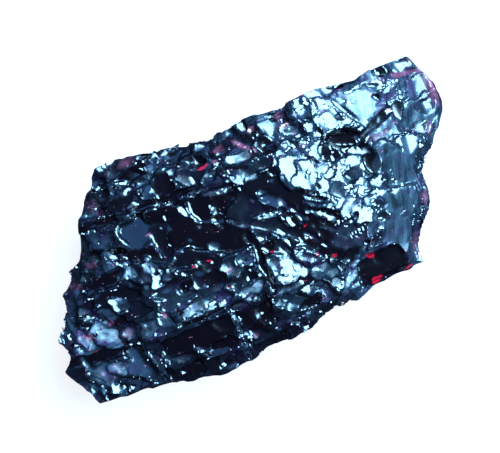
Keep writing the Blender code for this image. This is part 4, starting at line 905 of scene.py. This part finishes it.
garnet = bpy.data.materials.new("broken_garnet")
garnet.use_nodes = True
tree = garnet.node_tree
shader = tree.nodes["Principled BSDF"]
shader.inputs["IOR"].default_value = 1.79
frosted = add_node(tree, "ShaderNodeAttribute", {"attribute_name": "frost_and_sheen"})
painted_red_glint_spots = add_node(tree, "ShaderNodeAttribute", {"attribute_name": "painted_red_glint"})
place = add_node(tree, "ShaderNodeTexCoord")
haze = add_node(tree, "ShaderNodeTexNoise", Vector=place.outputs["Object"], Scale=1 / HAZE, Detail=7.0,
                Roughness=0.75)
end_face = add_node(tree, "ShaderNodeAttribute", {"attribute_name": "end_face"})
along_grain = add_node(tree, "ShaderNodeMapping", {"vector_type": "TEXTURE"}, Vector=place.outputs["Object"],
                       Rotation=(0, 0, math.radians(-14)), Scale=(0.5, 5, 1))
streaks = add_node(tree, "ShaderNodeTexNoise", Vector=along_grain.outputs[0], Scale=1 / STREAK, Detail=6.0,
                   Roughness=0.7)
haze_or_streaks = add_node(tree, "ShaderNodeMix", i0=end_face.outputs["Fac"], i2=haze.outputs["Fac"],
                           i3=streaks.outputs["Fac"])
patchy = add_node(tree, "ShaderNodeMapRange", i0=haze_or_streaks.outputs[0], i1=0.35, i2=0.68,
                  i3=0.3, i4=1.5)
edges = add_node(tree, "ShaderNodeNewGeometry")
bruised = add_node(tree, "ShaderNodeMapRange", i0=edges.outputs["Pointiness"], i1=0.52, i2=0.62,
                   i3=0.0, i4=0.35)
haze_and_sheen_on_faces = add_node(tree, "ShaderNodeMath", {"operation": "MULTIPLY"}, i0=frosted.outputs["Fac"],
                         i1=patchy.outputs[0])
haze_and_sheen = add_node(tree, "ShaderNodeMath", {"operation": "ADD", "use_clamp": True}, i0=haze_and_sheen_on_faces.outputs[0],
                i1=bruised.outputs[0])
tinge = add_node(tree, "ShaderNodeTexNoise", Vector=place.outputs["Object"], Scale=1 / TINGE, Detail=4.0)
violet = add_node(tree, "ShaderNodeMapRange", i0=tinge.outputs["Fac"], i1=0.5, i2=0.64, i3=0.0, i4=1.0)
# The haze colour, slate blue to violet: partly the paler crushed surface, partly a painted sheen standing in
# for the cool light that rough faces reflect.
haze_sheen_colour = add_node(tree, "ShaderNodeMix", {"data_type": "RGBA"}, Factor=violet.outputs[0],
                 A=srgb("324658"), B=srgb("483c62"))
clear_or_frost_sheen = add_node(tree, "ShaderNodeMix", {"data_type": "RGBA"}, Factor=haze_and_sheen.outputs[0],
                            A=srgb("080206"), B=haze_sheen_colour.outputs[2])
# Painted red glints: the listed spots, their outlines broken up by small specks, turn a vivid red that
# stands in for light coming back from cracks inside.
specks = add_node(tree, "ShaderNodeTexNoise", Vector=place.outputs["Object"], Scale=1 / SPECK, Detail=3.0)
red_glint_with_specks = add_node(tree, "ShaderNodeMath", {"operation": "ADD"}, i0=painted_red_glint_spots.outputs["Fac"],
                      i1=specks.outputs["Fac"])
red = add_node(tree, "ShaderNodeMapRange", i0=red_glint_with_specks.outputs[0], i1=1.15, i2=1.45, i3=0.0, i4=1.0)
# Painted pink glow: the listed thin-edge spots, patchy like the haze, turn pink, standing in for light
# shining through thin edges. Small pink grit flecks on the hazy parts are added to it.
pink_glow_spots = add_node(tree, "ShaderNodeAttribute", {"attribute_name": "pink_glow"})
painted_pink_glow_mask = add_node(tree, "ShaderNodeMath", {"operation": "MULTIPLY"}, i0=pink_glow_spots.outputs["Fac"],
                     i1=patchy.outputs[0])
grit = add_node(tree, "ShaderNodeTexNoise", Vector=place.outputs["Object"], Scale=1 / GRIT, Detail=1.0)
grit_on_haze = add_node(tree, "ShaderNodeMath", {"operation": "MULTIPLY_ADD"}, i0=haze_and_sheen.outputs[0], i1=0.15,
                        i2=grit.outputs["Fac"])
rosy_grit = add_node(tree, "ShaderNodeMapRange", i0=grit_on_haze.outputs[0], i1=0.75, i2=0.81,
                     i3=0.0, i4=0.6)
pink_glow_and_grit = add_node(tree, "ShaderNodeMath", {"operation": "ADD", "use_clamp": True}, i0=painted_pink_glow_mask.outputs[0],
                i1=rosy_grit.outputs[0])
pink = add_node(tree, "ShaderNodeMix", {"data_type": "RGBA"}, Factor=pink_glow_and_grit.outputs[0],
                A=clear_or_frost_sheen.outputs[2], B=srgb("c8607c"))
# The base colour with the painted red glints laid over it.
body = add_node(tree, "ShaderNodeMix", {"data_type": "RGBA"}, Factor=red.outputs[0],
                A=pink.outputs[2], B=srgb("d01028"))
tree.links.new(body.outputs[2], shader.inputs["Base Color"])
spread = add_node(tree, "ShaderNodeMapRange", i0=haze_and_sheen.outputs[0], i3=0.14, i4=0.5)
tree.links.new(spread.outputs[0], shader.inputs["Roughness"])
stone_mesh.materials.clear()
stone_mesh.materials.append(garnet)

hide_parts("garnet")
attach(stone, "root")

# The light
# One large cool softbox with a wider, bluer halo round it, and a dim blue fill from the back.
def softbox(name, azimuth, elevation, distance, size, watts, colour):
    """A flat light that looks at the stone from an azimuth and elevation in degrees."""
    light = bpy.data.lights.new(name, "AREA")
    light.shape = "RECTANGLE"
    light.size, light.size_y = size
    light.energy = watts
    light.color = srgb(colour)[:3]
    lamp = bpy.data.objects.new(name, light)
    azimuth, elevation = math.radians(azimuth), math.radians(elevation)
    level = math.cos(elevation)
    away = Vector((math.cos(azimuth) * level, math.sin(azimuth) * level, math.sin(elevation)))
    lamp.location = away * distance
    lamp.rotation_euler = away.to_track_quat("Z", "Y").to_euler()
    bpy.context.scene.collection.objects.link(lamp)


softbox("key", 20, 59, 0.6, (0.42, 0.36), 13, "a8e0ff")
softbox("halo", 20, 52, 0.75, (0.9, 0.7), 8, "48a4e0")
softbox("fill", 105, 52, 0.7, (0.5, 0.4), 1.3, "487cc0")

# The table
# A board of white melamine laminate, pressed matt, so it is an even pale ground with a soft shadow. It is
# kept out of the stone's reflections, which would otherwise lose their black.
table = bpy.data.meshes.new("table")
top = bmesh.new()
bmesh.ops.create_grid(top, x_segments=1, y_segments=1, size=1.0)
bmesh.ops.translate(top, verts=top.verts[:], vec=(0, 0, -0.0001))
top.to_mesh(table)
top.free()
table_object = bpy.data.objects.new("table", table)
bpy.context.scene.collection.objects.link(table_object)
laminate = bpy.data.materials.new("white_laminate")
laminate.use_nodes = True
face = laminate.node_tree.nodes["Principled BSDF"].inputs
face["Base Color"].default_value = srgb("808080")
face["Roughness"].default_value = 0.8
face["Emission Color"].default_value = srgb("ffffff")
face["Emission Strength"].default_value = 0.85
table.materials.append(laminate)
table_object.visible_glossy = False

world = bpy.data.worlds.new("room")
world.use_nodes = True
world.node_tree.nodes["Background"].inputs["Color"].default_value = srgb("283450")
bpy.context.scene.world = world
bpy.context.scene.view_settings.view_transform = "Standard"
